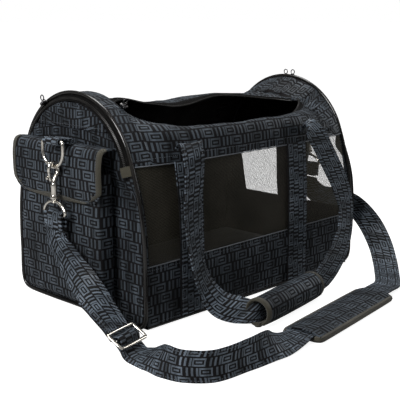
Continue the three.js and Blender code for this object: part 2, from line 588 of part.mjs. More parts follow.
// Shoulder pad: a cushion on the floor under the strap and a cover sewn over it.
const PAD = { length: 214, width: 60, turn: degrees(7.5), x: 3, y: -281.6 };
function padLayer(name, z0, z1, width, material) {
  const shape = roundedRect(-PAD.length / 2, -width / 2, PAD.length / 2, width / 2, 8);
  const mesh = add(name, extrudeZ(shape, z0, z1, 3), material);
  mesh.position.set(PAD.x, PAD.y, 0);
  mesh.rotation.z = PAD.turn;
}
padLayer("shoulder_pad", 0.2, 6.4, PAD.width, BINDING());
padLayer("pad_cover", 11, 13, PAD.width - 4, JACQUARD());

// ---- carry handles -------------------------------------------------------------------------------
// Each hangs down its wall and rests its wrapped grip on the floor; the back one mirrors the front.
const legLeft = [
  [[-150, -139.6, 236], [1, 0, 0]], [[-153, -149, 240], [1, 0, 0]], [[-156, -158, 228], [1, 0, 0]],
  [[-156, -160, 200], [1, 0, 0]], [[-159, -158, 150], [1, -0.2, 0]], [[-155, -156, 100], [0.9, -0.4, 0]],
  [[-147, -161, 58], [0.7, -0.7, 0.1]], [[-133, -180, 28], [0.6, -0.6, 0.4]],
  [[-115, -205, 20], [0.5, -0.3, 0.8]]];
const legRight = [
  [[84, -142, 236], [1, 0, 0]], [[92, -149, 240], [1, 0, 0.1]], [[104, -158, 224], [0.85, 0, 0.4]],
  [[127, -162, 190], [0.8, 0, 0.55]], [[152, -165, 152], [0.85, 0, 0.4]], [[166, -168, 118], [1, 0, 0]],
  [[162, -174, 88], [0.9, 0, -0.3]], [[138, -184, 58], [0.8, -0.1, -0.6]],
  [[98, -195, 35], [0.6, -0.2, -0.8]], [[60, -203, 22], [0.2, -0.1, -0.95]]];
const GRIP = { from: [-108, -227.5, 20.5], to: [40, -205.5, 20.5], radius: 19.5 };
for (const [name, side] of [["front", 1], ["back", -1]]) {
  const mirror = ([x, y, z]) => [x, side * y, z];
  const mirrored = (stations) => stations.map((station) => station.map(mirror));
  add(name + "_handle_left", ribbon(mirrored(legLeft), HANDLE_WIDTH, WEBBING, 36), JACQUARD());
  add(name + "_handle_right", ribbon(mirrored(legRight), HANDLE_WIDTH, WEBBING, 42), JACQUARD());
  const from = vec(...mirror(GRIP.from));
  const to = vec(...mirror(GRIP.to));
  const axis = to.clone().sub(from);
  const grip = new THREE.CylinderGeometry(GRIP.radius, GRIP.radius, axis.length(), 20);
  grip.applyQuaternion(new THREE.Quaternion().setFromUnitVectors(vec(0, 1, 0), axis.clone().normalize()));
  grip.translate(...from.clone().add(to).multiplyScalar(0.5).toArray());
  add(name + "_grip", grip, JACQUARD());
}

export default bag;
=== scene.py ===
# %% [markdown]
# # A soft pet carrier bag, sewn piece by piece
# The bag is a padded duffel: two arched ends, a mesh window in front, a slit top that stands open, a flap
# pocket on the left end, two carry handles and a long shoulder strap with snap hooks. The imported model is
# loaded first as a fixed frame in metres, and every piece below is sewn round it.

# %% Load the frame
import math

import bpy
import numpy as np
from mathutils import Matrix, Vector


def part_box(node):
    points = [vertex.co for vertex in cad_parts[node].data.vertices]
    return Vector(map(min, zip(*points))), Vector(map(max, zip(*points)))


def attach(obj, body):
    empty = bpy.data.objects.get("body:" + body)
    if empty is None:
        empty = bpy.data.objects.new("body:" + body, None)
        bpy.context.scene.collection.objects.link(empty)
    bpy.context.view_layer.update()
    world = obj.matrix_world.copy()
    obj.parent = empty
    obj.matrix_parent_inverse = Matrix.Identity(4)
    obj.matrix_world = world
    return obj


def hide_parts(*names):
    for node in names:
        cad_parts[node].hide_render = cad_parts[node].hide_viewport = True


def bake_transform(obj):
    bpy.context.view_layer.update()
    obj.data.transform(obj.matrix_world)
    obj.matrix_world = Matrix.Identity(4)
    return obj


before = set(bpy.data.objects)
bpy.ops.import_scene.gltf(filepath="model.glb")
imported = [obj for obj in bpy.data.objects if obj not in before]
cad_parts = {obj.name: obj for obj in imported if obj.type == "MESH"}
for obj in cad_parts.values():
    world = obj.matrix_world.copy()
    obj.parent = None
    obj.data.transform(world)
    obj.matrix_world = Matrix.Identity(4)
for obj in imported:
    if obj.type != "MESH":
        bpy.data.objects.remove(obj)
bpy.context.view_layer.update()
MM = 0.001

# %% [markdown]
# ## Camera
# A bag like this is shown from one corner, a little above its middle, so that one end, the front wall and
# the open top all read at once. A long lens keeps the two arches nearly the same size.

# %% Camera
camera = bpy.data.objects.new("camera", bpy.data.cameras.new("camera"))
bpy.context.scene.collection.objects.link(camera)
camera.location = (-0.9158, -0.9226, 0.4044)
camera.rotation_euler = Vector((0.6938, 0.6876, -0.2140)).to_track_quat("-Z", "Y").to_euler()
camera.data.lens = 77.0
camera.data.sensor_width = 36.0
bpy.context.scene.camera = camera
bpy.context.scene.view_settings.view_transform = "Standard"
print("camera", tuple(round(c, 3) for c in camera.location), "lens", camera.data.lens)

# %% [markdown]
# ## Driving sizes
# The frame's boxes give the main sizes: where the two arches stand, how deep the base is and how high the
# bands of the wall reach. The shapes that follow use only these few numbers.

# %% Driving sizes
HALF = (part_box("right_piping")[0].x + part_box("right_piping")[1].x) / 2
HALF_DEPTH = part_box("front_lower_panel")[0].y * -1
BASE_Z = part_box("front_lower_panel")[0].z
BAND_LOW_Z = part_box("front_lower_panel")[1].z
BAND_HIGH_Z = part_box("front_mesh")[1].z + 0.5 * MM
CROWN_RADIUS = HALF_DEPTH - 18 * MM
CROWN_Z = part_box("left_piping")[1].z - CROWN_RADIUS - 2.5 * MM
FLANK_Z = 93 * MM
SHOULDER_Z = 216 * MM
SLIT = (-195 * MM, 178 * MM)
SLIT_Y = -62 * MM
FOLD_Z = 254 * MM
ZIP_STOP_Z = 212 * MM
DOOR_RADIUS = CROWN_RADIUS - 12 * MM
WALL_END = HALF - 3.5 * MM
WEBBING_X = {"left": -141 * MM, "right": 83 * MM}
RING_X = (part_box("right_d_ring")[0].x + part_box("right_d_ring")[1].x) / 2
RING_Y = -15 * MM
SHELL_THICK, WEBBING_THICK = 2.2 * MM, 1.8 * MM
ON_SHELL, ON_WEBBING = 1.4 * MM, 1.1 * MM
WEBBING_HALF = 21.5 * MM
print("half length", round(HALF, 4), "crown", round(CROWN_Z, 4), round(CROWN_RADIUS, 4))

# %% [markdown]
# ## Small helpers for curves
# Straps and wires follow smooth curves through a few chosen points. The centripetal form of the
# Catmull-Rom curve never loops or overshoots between points that lie close together.

# %% Curves
def unit(v):
    return v / np.maximum(np.linalg.norm(v, axis=-1, keepdims=True), 1e-12)


def mix(a, b, t):
    return a + (b - a) * t


def smooth(x, low, high):
    t = np.clip((x - low) / (high - low), 0, 1)
    return t * t * (3 - 2 * t)


def catmull(points, share, closed=False):
    """Points on a smooth curve, at the given shares (0 to 1) of its list of points."""
    p = np.asarray(points, float)
    if closed:
        p = np.vstack([p[-1:], p, p[:2]])
    else:
        p = np.vstack([2 * p[0] - p[1], p, 2 * p[-1] - p[-2]])
    count = len(p) - 3
    at = np.clip(np.asarray(share) * count, 0, count - 1e-9)
    i = at.astype(int)
    t = (at - i)[:, None]
    a, b, c, d = p[i], p[i + 1], p[i + 2], p[i + 3]
    k0, k1, k2 = (np.maximum(np.linalg.norm(q, axis=1, keepdims=True), 1e-9) ** 0.5
                  for q in (b - a, c - b, d - c))
    go = ((b - a) / k0 - (c - a) / (k0 + k1) + (c - b) / k1) * k1
    stop = ((c - b) / k1 - (d - b) / (k1 + k2) + (d - c) / k2) * k1
    return b + go * t + (-3 * b + 3 * c - 2 * go - stop) * t**2 + (2 * b - 2 * c + go + stop) * t**3


def run_along(points):
    """The distance from the first point to each one."""
    return np.concatenate([[0], np.cumsum(np.linalg.norm(np.diff(points, axis=0), axis=1))])


def read_rows(at, places, rows):
    """Rows of numbers, read between their own places."""
    return np.stack([np.interp(at, places, rows[:, k]) for k in range(rows.shape[1])], axis=-1)


def even(points, count, closed=False):
    """(points, shares): count points evenly spaced on the smooth curve, and where each lies on its list."""
    share = np.linspace(0, 1, 40 * len(points))
    fine = catmull(points, share, closed)
    run = run_along(fine)
    stops = np.linspace(0, run[-1], count + 1)[:-1] if closed else np.linspace(0, run[-1], count)
    share = np.interp(stops, run, share)
    return catmull(points, share, closed), share


def arc(centre, radius, start, end, count):
    """Points (a, b) on an arc in its own plane, angles in degrees."""
    turn = np.radians(np.linspace(start, end, count))
    return np.stack([centre[0] + radius * np.cos(turn), centre[1] + radius * np.sin(turn)], axis=1)


def rounded(half_long, half_wide, corner, count):
    """Points round a rectangle with round corners, whose centres lie half_long and half_wide out."""
    centres = ((1, 1, 0), (-1, 1, 90), (-1, -1, 180), (1, -1, 270))
    return np.concatenate([arc((a * half_long, b * half_wide), corner, start, start + 90, count)
                           for a, b, start in centres])


print("curve helpers ready")

# %% [markdown]
# ## Node recipes
# A material is a small machine of shader nodes. This helper places a node and wires its inputs in one
# line, so that a weave or a fret reads almost like the formula that it is.

# %% Node recipes
class Recipe:
    """Places nodes in a tree and wires them."""

    def __init__(self, tree):
        self.tree = tree

    def node(self, kind, _inputs=None, **settings):
        made = self.tree.nodes.new("ShaderNode" + kind)
        for key, value in settings.items():
            setattr(made, key, value)
        for key, value in (_inputs or {}).items():
            self.feed(made.inputs[key], value)
        return made

    def feed(self, socket, value):
        if isinstance(value, bpy.types.NodeSocket):
            self.tree.links.new(value, socket)
        else:
            socket.default_value = value

    def math(self, operation, *values):
        made = self.node("Math", operation=operation)
        for socket, value in zip(made.inputs, values):
            self.feed(socket, value)
        return made.outputs[0]

    def blend(self, amount, low, high):
        made = self.node("Mix", data_type="RGBA")
        self.feed(made.inputs["Factor"], amount)
        self.feed(made.inputs["A"], low)
        self.feed(made.inputs["B"], high)
        return made.outputs["Result"]

    def ramp(self, value, low, high, out_low=0.0, out_high=1.0):
        made = self.node("MapRange", {"Value": value, "From Min": low, "From Max": high,
                                      "To Min": out_low, "To Max": out_high})
        return made.outputs["Result"]


def new_group(name, inputs, outputs):
    """An empty shader group with float inputs {name: default} and float outputs."""
    group = bpy.data.node_groups.new(name, "ShaderNodeTree")
    for key, value in inputs.items():
        group.interface.new_socket(key, in_out="INPUT", socket_type="NodeSocketFloat").default_value = value
    for key in outputs:
        group.interface.new_socket(key, in_out="OUTPUT", socket_type="NodeSocketFloat")
    return group, Recipe(group), group.nodes.new("NodeGroupInput")


def cloth_plane(recipe):
    """The two coordinates of the cloth in metres, from its own cutting pattern."""
    split = recipe.node("SeparateXYZ", {"Vector": recipe.node("UVMap", uv_map="cloth").outputs["UV"]})
    return split.outputs["X"], split.outputs["Y"]


print("recipe helper ready")

# %% [markdown]
# ## Shared effect: a woven fret
# The cloth is a jacquard: silky yarn draws rows of small closed frames, laid like bricks, on a dull ground.
# Each row is shifted by half a repeat. Every other cell is a nest of two rectangles; the cells between them
# hold upright bars.

# %% Woven fret group
def build_fret():
    group, r, given = new_group("woven fret", {"Repeat": 20 * MM, "Row": 13.5 * MM}, ["Yarn"])
    u, v = cloth_plane(r)
    row = r.math("DIVIDE", v, given.outputs["Row"])
    shift = r.math("MULTIPLY", r.math("FLOOR", row), 0.5)
    column = r.math("ADD", r.math("DIVIDE", u, given.outputs["Repeat"]), shift)
    across = r.math("SUBTRACT", r.math("FRACT", column), 0.5)
    along = r.math("ABSOLUTE", across)
    up = r.math("ABSOLUTE", r.math("SUBTRACT", r.math("FRACT", row), 0.5))

    def inside(width, height):
        near = r.math("LESS_THAN", along, width)
        return r.math("MULTIPLY", near, r.math("LESS_THAN", up, height))

    nest = r.math("ADD", r.math("SUBTRACT", inside(0.44, 0.42), inside(0.33, 0.24)), inside(0.21, 0.09))
    bars = r.math("GREATER_THAN", r.math("FRACT", r.math("MULTIPLY", column, 3)), 0.55)
    bars = r.math("MULTIPLY", bars, inside(0.5, 0.42))
    odd = r.math("LESS_THAN", r.math("FRACT", r.math("MULTIPLY", r.math("FLOOR", column), 0.5)), 0.25)
    mask = r.math("ADD", r.math("MULTIPLY", nest, odd), r.math("MULTIPLY", bars, r.math("SUBTRACT", 1, odd)))
    out = group.nodes.new("NodeGroupOutput")
    r.feed(out.inputs["Yarn"], mask)
    return group


fret_group = build_fret()
print("group", fret_group.name)

# %% [markdown]
# ## Shared effect: threads
# Seen close, every cloth is a grid of threads. Two crossed waves give their height, at the spacing that the
# cloth really has: about 0.7 mm for the shell and 1.1 mm for webbing.

# %% Thread group
def build_threads():
    group, r, given = new_group("threads", {"Spacing": 0.7 * MM, "Slant": 0.5}, ["Height"])
    u, v = cloth_plane(r)
    turn = r.math("DIVIDE", 2 * math.pi, given.outputs["Spacing"])
    warp = r.math("SINE", r.math("MULTIPLY", u, turn))
    slanted = r.math("ADD", v, r.math("MULTIPLY", u, given.outputs["Slant"]))
    weft = r.math("SINE", r.math("MULTIPLY", slanted, turn))
    out = group.nodes.new("NodeGroupOutput")
    r.feed(out.inputs["Height"], r.math("ADD", r.math("MULTIPLY", warp, 0.5), weft))
    return group


thread_group = build_threads()
print("group", thread_group.name)

# %% [markdown]
# ## Shared effect: handled patches and dust
# Nothing sewn is one even colour. A slow noise marks where the cloth has been rubbed or pressed, and a fine
# one leaves specks of lint. Both are read from the object's own place, so they need no cutting pattern.

# %% Patches group
def build_patches():
    group, r, given = new_group("patches", {"Size": 14.0, "Specks": 420.0}, ["Patch", "Lint"])
    place = r.node("TexCoord").outputs["Object"]
    slow = r.node("TexNoise", {"Vector": place, "Scale": given.outputs["Size"], "Detail": 4.0,
                               "Roughness": 0.55})
    fine = r.node("TexNoise", {"Vector": place, "Scale": given.outputs["Specks"], "Detail": 1.0})
    out = group.nodes.new("NodeGroupOutput")
    r.feed(out.inputs["Patch"], r.ramp(slow.outputs["Fac"], 0.35, 0.68))
    r.feed(out.inputs["Lint"], r.ramp(fine.outputs["Fac"], 0.7, 0.78))
    return group


patch_group = build_patches()
print("group", patch_group.name)

# %% [markdown]
# ## Shared effect: open net
# The windows are knitted net. A real net has thousands of holes, far too many to model, so its holes are
# cut by a mask: thin threads cross at a slant, and what lies between them is left clear.

# %% Net group
def build_net():
    group, r, given = new_group("net", {"Pitch": 1.9 * MM, "Thread": 0.21}, ["Solid"])
    u, v = cloth_plane(r)
    half = r.math("MULTIPLY", given.outputs["Thread"], 0.5)

    def threads(direction):
        place = r.math("FRACT", r.math("DIVIDE", direction, given.outputs["Pitch"]))
        away = r.math("ABSOLUTE", r.math("SUBTRACT", place, 0.5))
        return r.math("LESS_THAN", away, half)

    one = threads(r.math("ADD", u, r.math("MULTIPLY", v, 0.35)))
    two = threads(r.math("SUBTRACT", v, r.math("MULTIPLY", u, 0.1)))
    out = group.nodes.new("NodeGroupOutput")
    r.feed(out.inputs["Solid"], r.math("MAXIMUM", one, two))
    return group


net_group = build_net()
print("group", net_group.name)

# %% [markdown]
# ## Cloth materials
# The Principled shader stays in each material. What changes over the cloth comes from the groups: the silky
# yarn is lighter and smoother than the ground, rubbed patches are a little paler, and the thread height goes
# to a Bump. Long streaks of noise are painted sheen: they make both yarn and ground lighter and darker in
# bands. A little sheen gives the soft edge light that woven polyester shows.

# %% Jacquard materials
SHEEN_STREAK_SCALE = 90.0


def place_group(r, group, **values):
    return r.node("Group", values, node_tree=group)


def start_material(name):
    material = bpy.data.materials.new(name)
    material.use_nodes = True
    material.node_tree.nodes.clear()
    r = Recipe(material.node_tree)
    shader = r.node("BsdfPrincipled")
    r.node("OutputMaterial", {"Surface": shader.outputs["BSDF"]})
    return material, r, shader


def jacquard(name, ground, yarn, repeat, row, rough=(0.82, 0.34), spacing=0.7 * MM, depth=0.35):
    """Silky yarn on dull ground. repeat and row size the fret, and rough holds both roughnesses."""
    material, r, shader = start_material(name)
    fret = place_group(r, fret_group, Repeat=repeat, Row=row).outputs["Yarn"]
    threads = place_group(r, thread_group, Spacing=spacing).outputs["Height"]
    patches = place_group(r, patch_group, Size=16.0, Specks=520.0)
    u, v = cloth_plane(r)
    # Painted sheen: stretched noise draws long streaks that lighten and darken the ground and the yarn,
    # mixed with a little of the rubbed patches.
    band = r.node("CombineXYZ", {"X": u, "Y": r.math("MULTIPLY", v, 0.12)})
    band = r.node("TexNoise", {"Vector": band.outputs["Vector"], "Scale": SHEEN_STREAK_SCALE, "Detail": 3.0})
    sheen_and_rubbing = r.ramp(r.math("ADD", band.outputs["Fac"], r.math("MULTIPLY", patches.outputs["Patch"], 0.22)),
                  0.42, 0.78)
    dull = r.blend(sheen_and_rubbing, (*[c * 0.7 for c in ground], 1), (*[c * 2.2 for c in ground], 1))
    silky = r.blend(sheen_and_rubbing, (*[c * 0.3 for c in yarn], 1), (*[c * 1.7 for c in yarn], 1))
    colour = r.blend(fret, dull, silky)
    colour = r.blend(r.math("MULTIPLY", patches.outputs["Lint"], 0.2), colour, (0.06, 0.06, 0.07, 1))
    r.feed(shader.inputs["Base Color"], colour)
    gloss = r.math("MULTIPLY", fret, r.ramp(sheen_and_rubbing, 0, 1, 0.6, 1.0))
    r.feed(shader.inputs["Roughness"], r.ramp(gloss, 0, 1, *rough))
    height = r.math("ADD", r.math("MULTIPLY", threads, 0.3), r.math("MULTIPLY", fret, 1.2))
    bump = r.node("Bump", {"Height": height, "Distance": 0.12 * MM, "Strength": depth})
    r.feed(shader.inputs["Normal"], bump.outputs["Normal"])
    shader.inputs["Specular IOR Level"].default_value = 0.14
    shader.inputs["Sheen Weight"].default_value = 0.03
    shader.inputs["Sheen Roughness"].default_value = 0.4
    shader.inputs["Sheen Tint"].default_value = (0.55, 0.68, 0.85, 1)
    return material


GROUND = (0.0026, 0.0024, 0.0028)
YARN = (0.036, 0.044, 0.053)
BRIGHT_YARN = (0.072, 0.088, 0.107)
shell_cloth = jacquard("shell_jacquard", GROUND, YARN, 21 * MM, 14 * MM)
strap_cloth = jacquard("strap_jacquard", GROUND, BRIGHT_YARN, 17 * MM, 11.5 * MM, (0.68, 0.3), 1.1 * MM, 0.6)
print("cloths", shell_cloth.name, strap_cloth.name)

# %% [markdown]
# ## Plain cloths, tape and net
# The lining is a thin slippery cloth, the binding a ribbed olive tape, and the floor mat a short fleece.
# They share one maker with different colours, thread spacing and sheen. The net uses its own mask as alpha.

# %% Plain cloth materials
def plain_cloth(name, colour, rough, spacing, depth, specular=0.2, sheen=0.0, size=22.0):
    material, r, shader = start_material(name)
    threads = place_group(r, thread_group, Spacing=spacing, Slant=0.0).outputs["Height"]
    patches = place_group(r, patch_group, Size=size, Specks=600.0)
    darker, lighter = (*[c * 0.75 for c in colour], 1), (*[c * 1.35 for c in colour], 1)
    base = r.blend(patches.outputs["Patch"], darker, lighter)
    base = r.blend(r.math("MULTIPLY", patches.outputs["Lint"], 0.2), base, (0.2, 0.19, 0.17, 1))
    r.feed(shader.inputs["Base Color"], base)
    r.feed(shader.inputs["Roughness"], r.ramp(patches.outputs["Patch"], 0, 1, rough + 0.06, rough - 0.06))
    bump = r.node("Bump", {"Height": threads, "Distance": 0.15 * MM, "Strength": depth})
    r.feed(shader.inputs["Normal"], bump.outputs["Normal"])
    shader.inputs["Specular IOR Level"].default_value = specular
    shader.inputs["Sheen Weight"].default_value = sheen
    return material


def net_cloth():
    material, r, shader = start_material("window_net")
    solid = place_group(r, net_group).outputs["Solid"]
    patches = place_group(r, patch_group, Size=9.0)
    colour = r.blend(patches.outputs["Patch"], (0.034, 0.031, 0.022, 1), (0.07, 0.064, 0.048, 1))
    r.feed(shader.inputs["Base Color"], colour)
    r.feed(shader.inputs["Roughness"], r.ramp(patches.outputs["Patch"], 0, 1, 0.75, 0.55))
    r.feed(shader.inputs["Alpha"], solid)
    shader.inputs["Specular IOR Level"].default_value = 0.25
    return material


lining_cloth = plain_cloth("lining", (0.0028, 0.0021, 0.0025), 0.6, 0.4 * MM, 0.1, 0.12)
binding_tape = plain_cloth("binding_tape", (0.03, 0.027, 0.018), 0.72, 1.0 * MM, 0.7, 0.25, 0.1)
dark_tape = plain_cloth("dark_tape", (0.003, 0.0028, 0.0028), 0.7, 0.9 * MM, 0.6, 0.06)
# The fleece is near black, and made darker still as painted shade for the inside of the bag seen through the
# net.
fleece = plain_cloth("mat_fleece", (0.0045, 0.0042, 0.004), 0.9, 1.6 * MM, 0.8, 0.1, 0.15, 60.0)
thread = plain_cloth("sewing_thread", (0.085, 0.095, 0.11), 0.45, 0.4 * MM, 0.3, 0.4)
net = net_cloth()
print("plain cloths", len(bpy.data.materials))

# %% [markdown]
# ## Vinyl and metals
# The piping is smooth black vinyl over a cord, so it takes a clear highlight with faint waves. The hooks and
# rings are nickel plated: bright, slightly warm, and dulled by handling in patches. The zip pulls are a dark
# gunmetal plate.

# %% Hard materials
def hard(name, colour, metallic, rough, worn, size, dent=0.15, specular=0.5):
    material, r, shader = start_material(name)
    patches = place_group(r, patch_group, Size=size, Specks=900.0)
    tone = r.blend(patches.outputs["Patch"], (*colour, 1), (*worn, 1))
    r.feed(shader.inputs["Base Color"], tone)
    r.feed(shader.inputs["Roughness"], r.ramp(patches.outputs["Patch"], 0, 1, rough[0], rough[1]))
    place = r.node("TexCoord").outputs["Object"]
    waves = r.node("TexNoise", {"Vector": place, "Scale": size * 4, "Detail": 3.0}).outputs["Fac"]
    bump = r.node("Bump", {"Height": waves, "Distance": 0.2 * MM, "Strength": dent})
    r.feed(shader.inputs["Normal"], bump.outputs["Normal"])
    shader.inputs["Metallic"].default_value = metallic
    shader.inputs["Specular IOR Level"].default_value = specular
    return material


BLACK = (0.004, 0.004, 0.004)
vinyl = hard("piping_vinyl", BLACK, 0.0, (0.12, 0.22), (0.008, 0.007, 0.006), 40.0, 0.25, 0.45)
coil_nylon = hard("zip_nylon", BLACK, 0.0, (0.3, 0.42), (0.016, 0.015, 0.014), 60.0, 0.2, 0.35)
nickel = hard("nickel", (0.74, 0.71, 0.65), 1.0, (0.09, 0.22), (0.56, 0.52, 0.46), 90.0, 0.12)
gunmetal = hard("gunmetal", (0.06, 0.06, 0.065), 1.0, (0.22, 0.4), (0.13, 0.125, 0.12), 120.0, 0.15)
board = hard("board_fibre", (0.05, 0.038, 0.026), 0.0, (0.75, 0.9), (0.03, 0.024, 0.018), 50.0, 0.4, 0.2)

# %% [markdown]
# ## Cloth as a mesh
# Each sewn panel starts as a grid of points on the surface that it follows. Two copies, pushed out and in by
# half the thickness and closed round the rim, make a solid sheet. Its cutting pattern is measured along the
# grid in metres, so the weave keeps its scale on every piece, and the inner face can wear the lining.

# %% Cloth builder
def grid_normals(grid):
    return unit(np.cross(np.gradient(grid, axis=0), np.gradient(grid, axis=1)))


def pattern_of(grid):
    """The grid's cutting pattern: distance along each direction in metres, counted from the middle."""
    plane = []
    for axis in (0, 1):
        step = np.linalg.norm(np.diff(grid, axis=axis), axis=2)
        start = np.zeros_like(np.take(step, [0], axis=axis))
        run = np.concatenate([start, np.cumsum(step, axis=axis)], axis=axis)
        middle = np.take(run, [run.shape[axis] // 2], axis=axis)
        plane.append(run - middle)
    return np.stack(plane, axis=-1)


def mesh_object(name, points, faces, material, body, pattern, inner=None, kinds=None, crease=40,
                replaces=()):
    """A mesh object that rides on a body. pattern gives each point's place on the cloth, in metres."""
    mesh = bpy.data.meshes.new(name)
    mesh.from_pydata([tuple(map(float, p)) for p in points], [], [tuple(map(int, f)) for f in faces])
    for slot_material in [material] + ([inner] if inner else []):
        mesh.materials.append(slot_material)
    layer = mesh.uv_layers.new(name="cloth")
    corners = np.zeros(len(mesh.loops), np.int32)
    mesh.loops.foreach_get("vertex_index", corners)
    layer.data.foreach_set("uv", np.asarray(pattern, np.float32)[corners].ravel())
    if kinds is not None:
        mesh.polygons.foreach_set("material_index", np.asarray(kinds, np.int32))
    mesh.polygons.foreach_set("use_smooth", np.ones(len(mesh.polygons), bool))
    mesh.set_sharp_from_angle(angle=math.radians(crease))
    mesh.update()
    made = bpy.data.objects.new(name, mesh)
    bpy.context.scene.collection.objects.link(made)
    if body is not None:
        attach(made, body)
    if replaces:
        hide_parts(*replaces)
    return made


def volume_of(points, faces):
    total = 0.0
    for face in faces:
        for k in range(1, len(face) - 1):
            a, b, c = points[face[0]], points[face[k]], points[face[k + 1]]
            total += np.dot(a, np.cross(b, c))
    return total / 6


def outward(points, faces):
    """The faces, turned round if they look inwards."""
    return [f[::-1] for f in faces] if volume_of(points, faces) < 0 else faces


def cloth(name, grid, thickness, material, body, inner=None, pattern=None, replaces=(), crease=50):
    """A sheet of cloth round a grid of points (rows, columns, 3), whose normal is the outer side."""
    rows, columns = grid.shape[:2]
    normal = grid_normals(grid)
    outer, under = grid + normal * thickness / 2, grid - normal * thickness / 2
    points = np.concatenate([outer.reshape(-1, 3), under.reshape(-1, 3)])
    index = np.arange(rows * columns).reshape(rows, columns)
    quads = np.stack([index[:-1, :-1], index[1:, :-1], index[1:, 1:], index[:-1, 1:]], axis=-1)
    quads = quads.reshape(-1, 4)
    shift = rows * columns
    faces = [*quads, *(quads[:, ::-1] + shift)]
    kinds = [0] * len(quads) + [1 if inner else 0] * len(quads)
    edge = np.concatenate([index[:, 0], index[-1, 1:], index[-2::-1, -1], index[0, -2:0:-1]])
    for a, b in zip(edge, np.roll(edge, -1)):
        faces.append((b, a, a + shift, b + shift))
        kinds.append(0)
    plane = (pattern_of(grid) if pattern is None else pattern).reshape(-1, 2)
    plane = np.concatenate([plane, plane])
    return mesh_object(name, points, faces, material, body, plane, inner, kinds, crease, replaces)


print("cloth builder ready")

# %% [markdown]
# ## Rumples
# Padded cloth is never flat: it bows between its seams and creases where it is pulled. A few long waves in
# fixed directions, with sharp crests, give shallow creases that come out the same on every run.

# %% Rumples
def rumple(grid, size, depth, seed=1, crisp=0.4):
    """The grid pushed along its normals by creases of that size and depth, in metres."""
    dice = np.random.default_rng(seed)
    push = np.zeros(grid.shape[:2])
    for _ in range(7):
        direction = unit(dice.normal(size=3)) * 2 * math.pi / (size * dice.uniform(0.6, 1.7))
        wave = np.sin(grid @ direction + dice.uniform(0, 7) + 0.8 * np.sin(grid @ direction[::-1] * 0.5))
        push += mix(wave, 1 - 2 * np.abs(wave) ** 0.7, crisp) / 7
    return grid + grid_normals(grid) * (push * depth)[..., None]


def fade(rows, columns, margin=0.12):
    """1 in the middle of a grid and 0 at its edges, where a seam holds it."""
    u = np.linspace(0, 1, rows)[:, None]
    v = np.linspace(0, 1, columns)[None, :]
    edge = np.minimum(np.minimum(u, 1 - u), np.minimum(v, 1 - v))
    return smooth(edge, 0, margin)


print("rumple helper ready")

# %% [markdown]
# ## Sweeps and straps
# Piping, wires and rings are one round section carried along a curve. Straps are flat: each station has a
# middle point and the direction of the strap's width, so the strap can lie, stand on edge and twist.

# %% Sweep and ribbon builders
def frames_along(points, closed):
    tangent = np.roll(points, -1, 0) - np.roll(points, 1, 0)
    if not closed:
        tangent[0], tangent[-1] = points[1] - points[0], points[-1] - points[-2]
    tangent = unit(tangent)
    side = [unit(np.cross(tangent[0], [0.31, 0.22, 0.92]))]
    for t in tangent[1:]:
        side.append(unit(side[-1] - np.dot(side[-1], t) * t))
    side = np.array(side)
    return tangent, side, np.cross(tangent, side)


def sweep(name, points, radius, material, body, closed=False, sides=14, replaces=(), flat=1.0, axis=None):
    """A round section along points. radius may be a list, and flat squashes the section along axis."""
    points = np.asarray(points, float)
    tangent, side, over = frames_along(points, closed)
    if axis is not None:
        over = unit(np.asarray(axis, float) - tangent * (tangent @ np.asarray(axis, float))[:, None])
        side = np.cross(over, tangent)
    radius = np.broadcast_to(radius, len(points))
    turn = np.linspace(0, 2 * math.pi, sides, endpoint=False)
    ring = np.cos(turn)[None, :, None] * side[:, None] + np.sin(turn)[None, :, None] * over[:, None] * flat
    body_points = (points[:, None] + ring * radius[:, None, None]).reshape(-1, 3)
    count = len(points)
    faces = []
    for i in range(count if closed else count - 1):
        for j in range(sides):
            k, n = (j + 1) % sides, (i + 1) % count
            faces.append((i * sides + j, i * sides + k, n * sides + k, n * sides + j))
    if not closed:
        faces.append(tuple(range(sides))[::-1])
        faces.append(tuple((count - 1) * sides + j for j in range(sides)))
    faces = outward(body_points, faces)
    plane = np.broadcast_arrays(run_along(points)[:, None], turn[None, :] * radius.mean())
    plane = np.stack(plane, axis=-1).reshape(-1, 2)
    return mesh_object(name, body_points, faces, material, body, plane, crease=60, replaces=replaces)


def ribbon(stations, width, length_steps, width_steps):
    """The grid of a strap, and its middle line. stations are (point, width direction)."""
    middle, share = even([s[0] for s in stations], length_steps + 1)
    knots = np.linspace(0, 1, len(stations))
    way = read_rows(share, knots, np.array([s[1] for s in stations], float))
    reach = max(length_steps // 40, 2)
    kernel = np.ones(2 * reach + 1) / (2 * reach + 1)
    padded_way = np.vstack([way[:1]] * reach + [way] + [way[-1:]] * reach)
    way = np.stack([np.convolve(padded_way[:, k], kernel, "valid") for k in range(3)], axis=1)
    tangent = unit(np.gradient(middle, axis=0))
    way = unit(way - tangent * np.sum(way * tangent, axis=1, keepdims=True))
    across = np.linspace(-0.5, 0.5, width_steps + 1)
    width = np.broadcast_to(width, len(middle))
    return middle[:, None] + way[:, None] * (across[None, :] * width[:, None])[..., None], middle


def route(points):
    return [(tuple(c * MM for c in point), way) for point, way in points]


print("sweeps ready")

# %% [markdown]
# ## Stitches
# A line of stitching is what tells sewn cloth from moulded plastic. Each stitch is a small spindle of thread
# lying on the cloth, and a whole seam is one mesh.

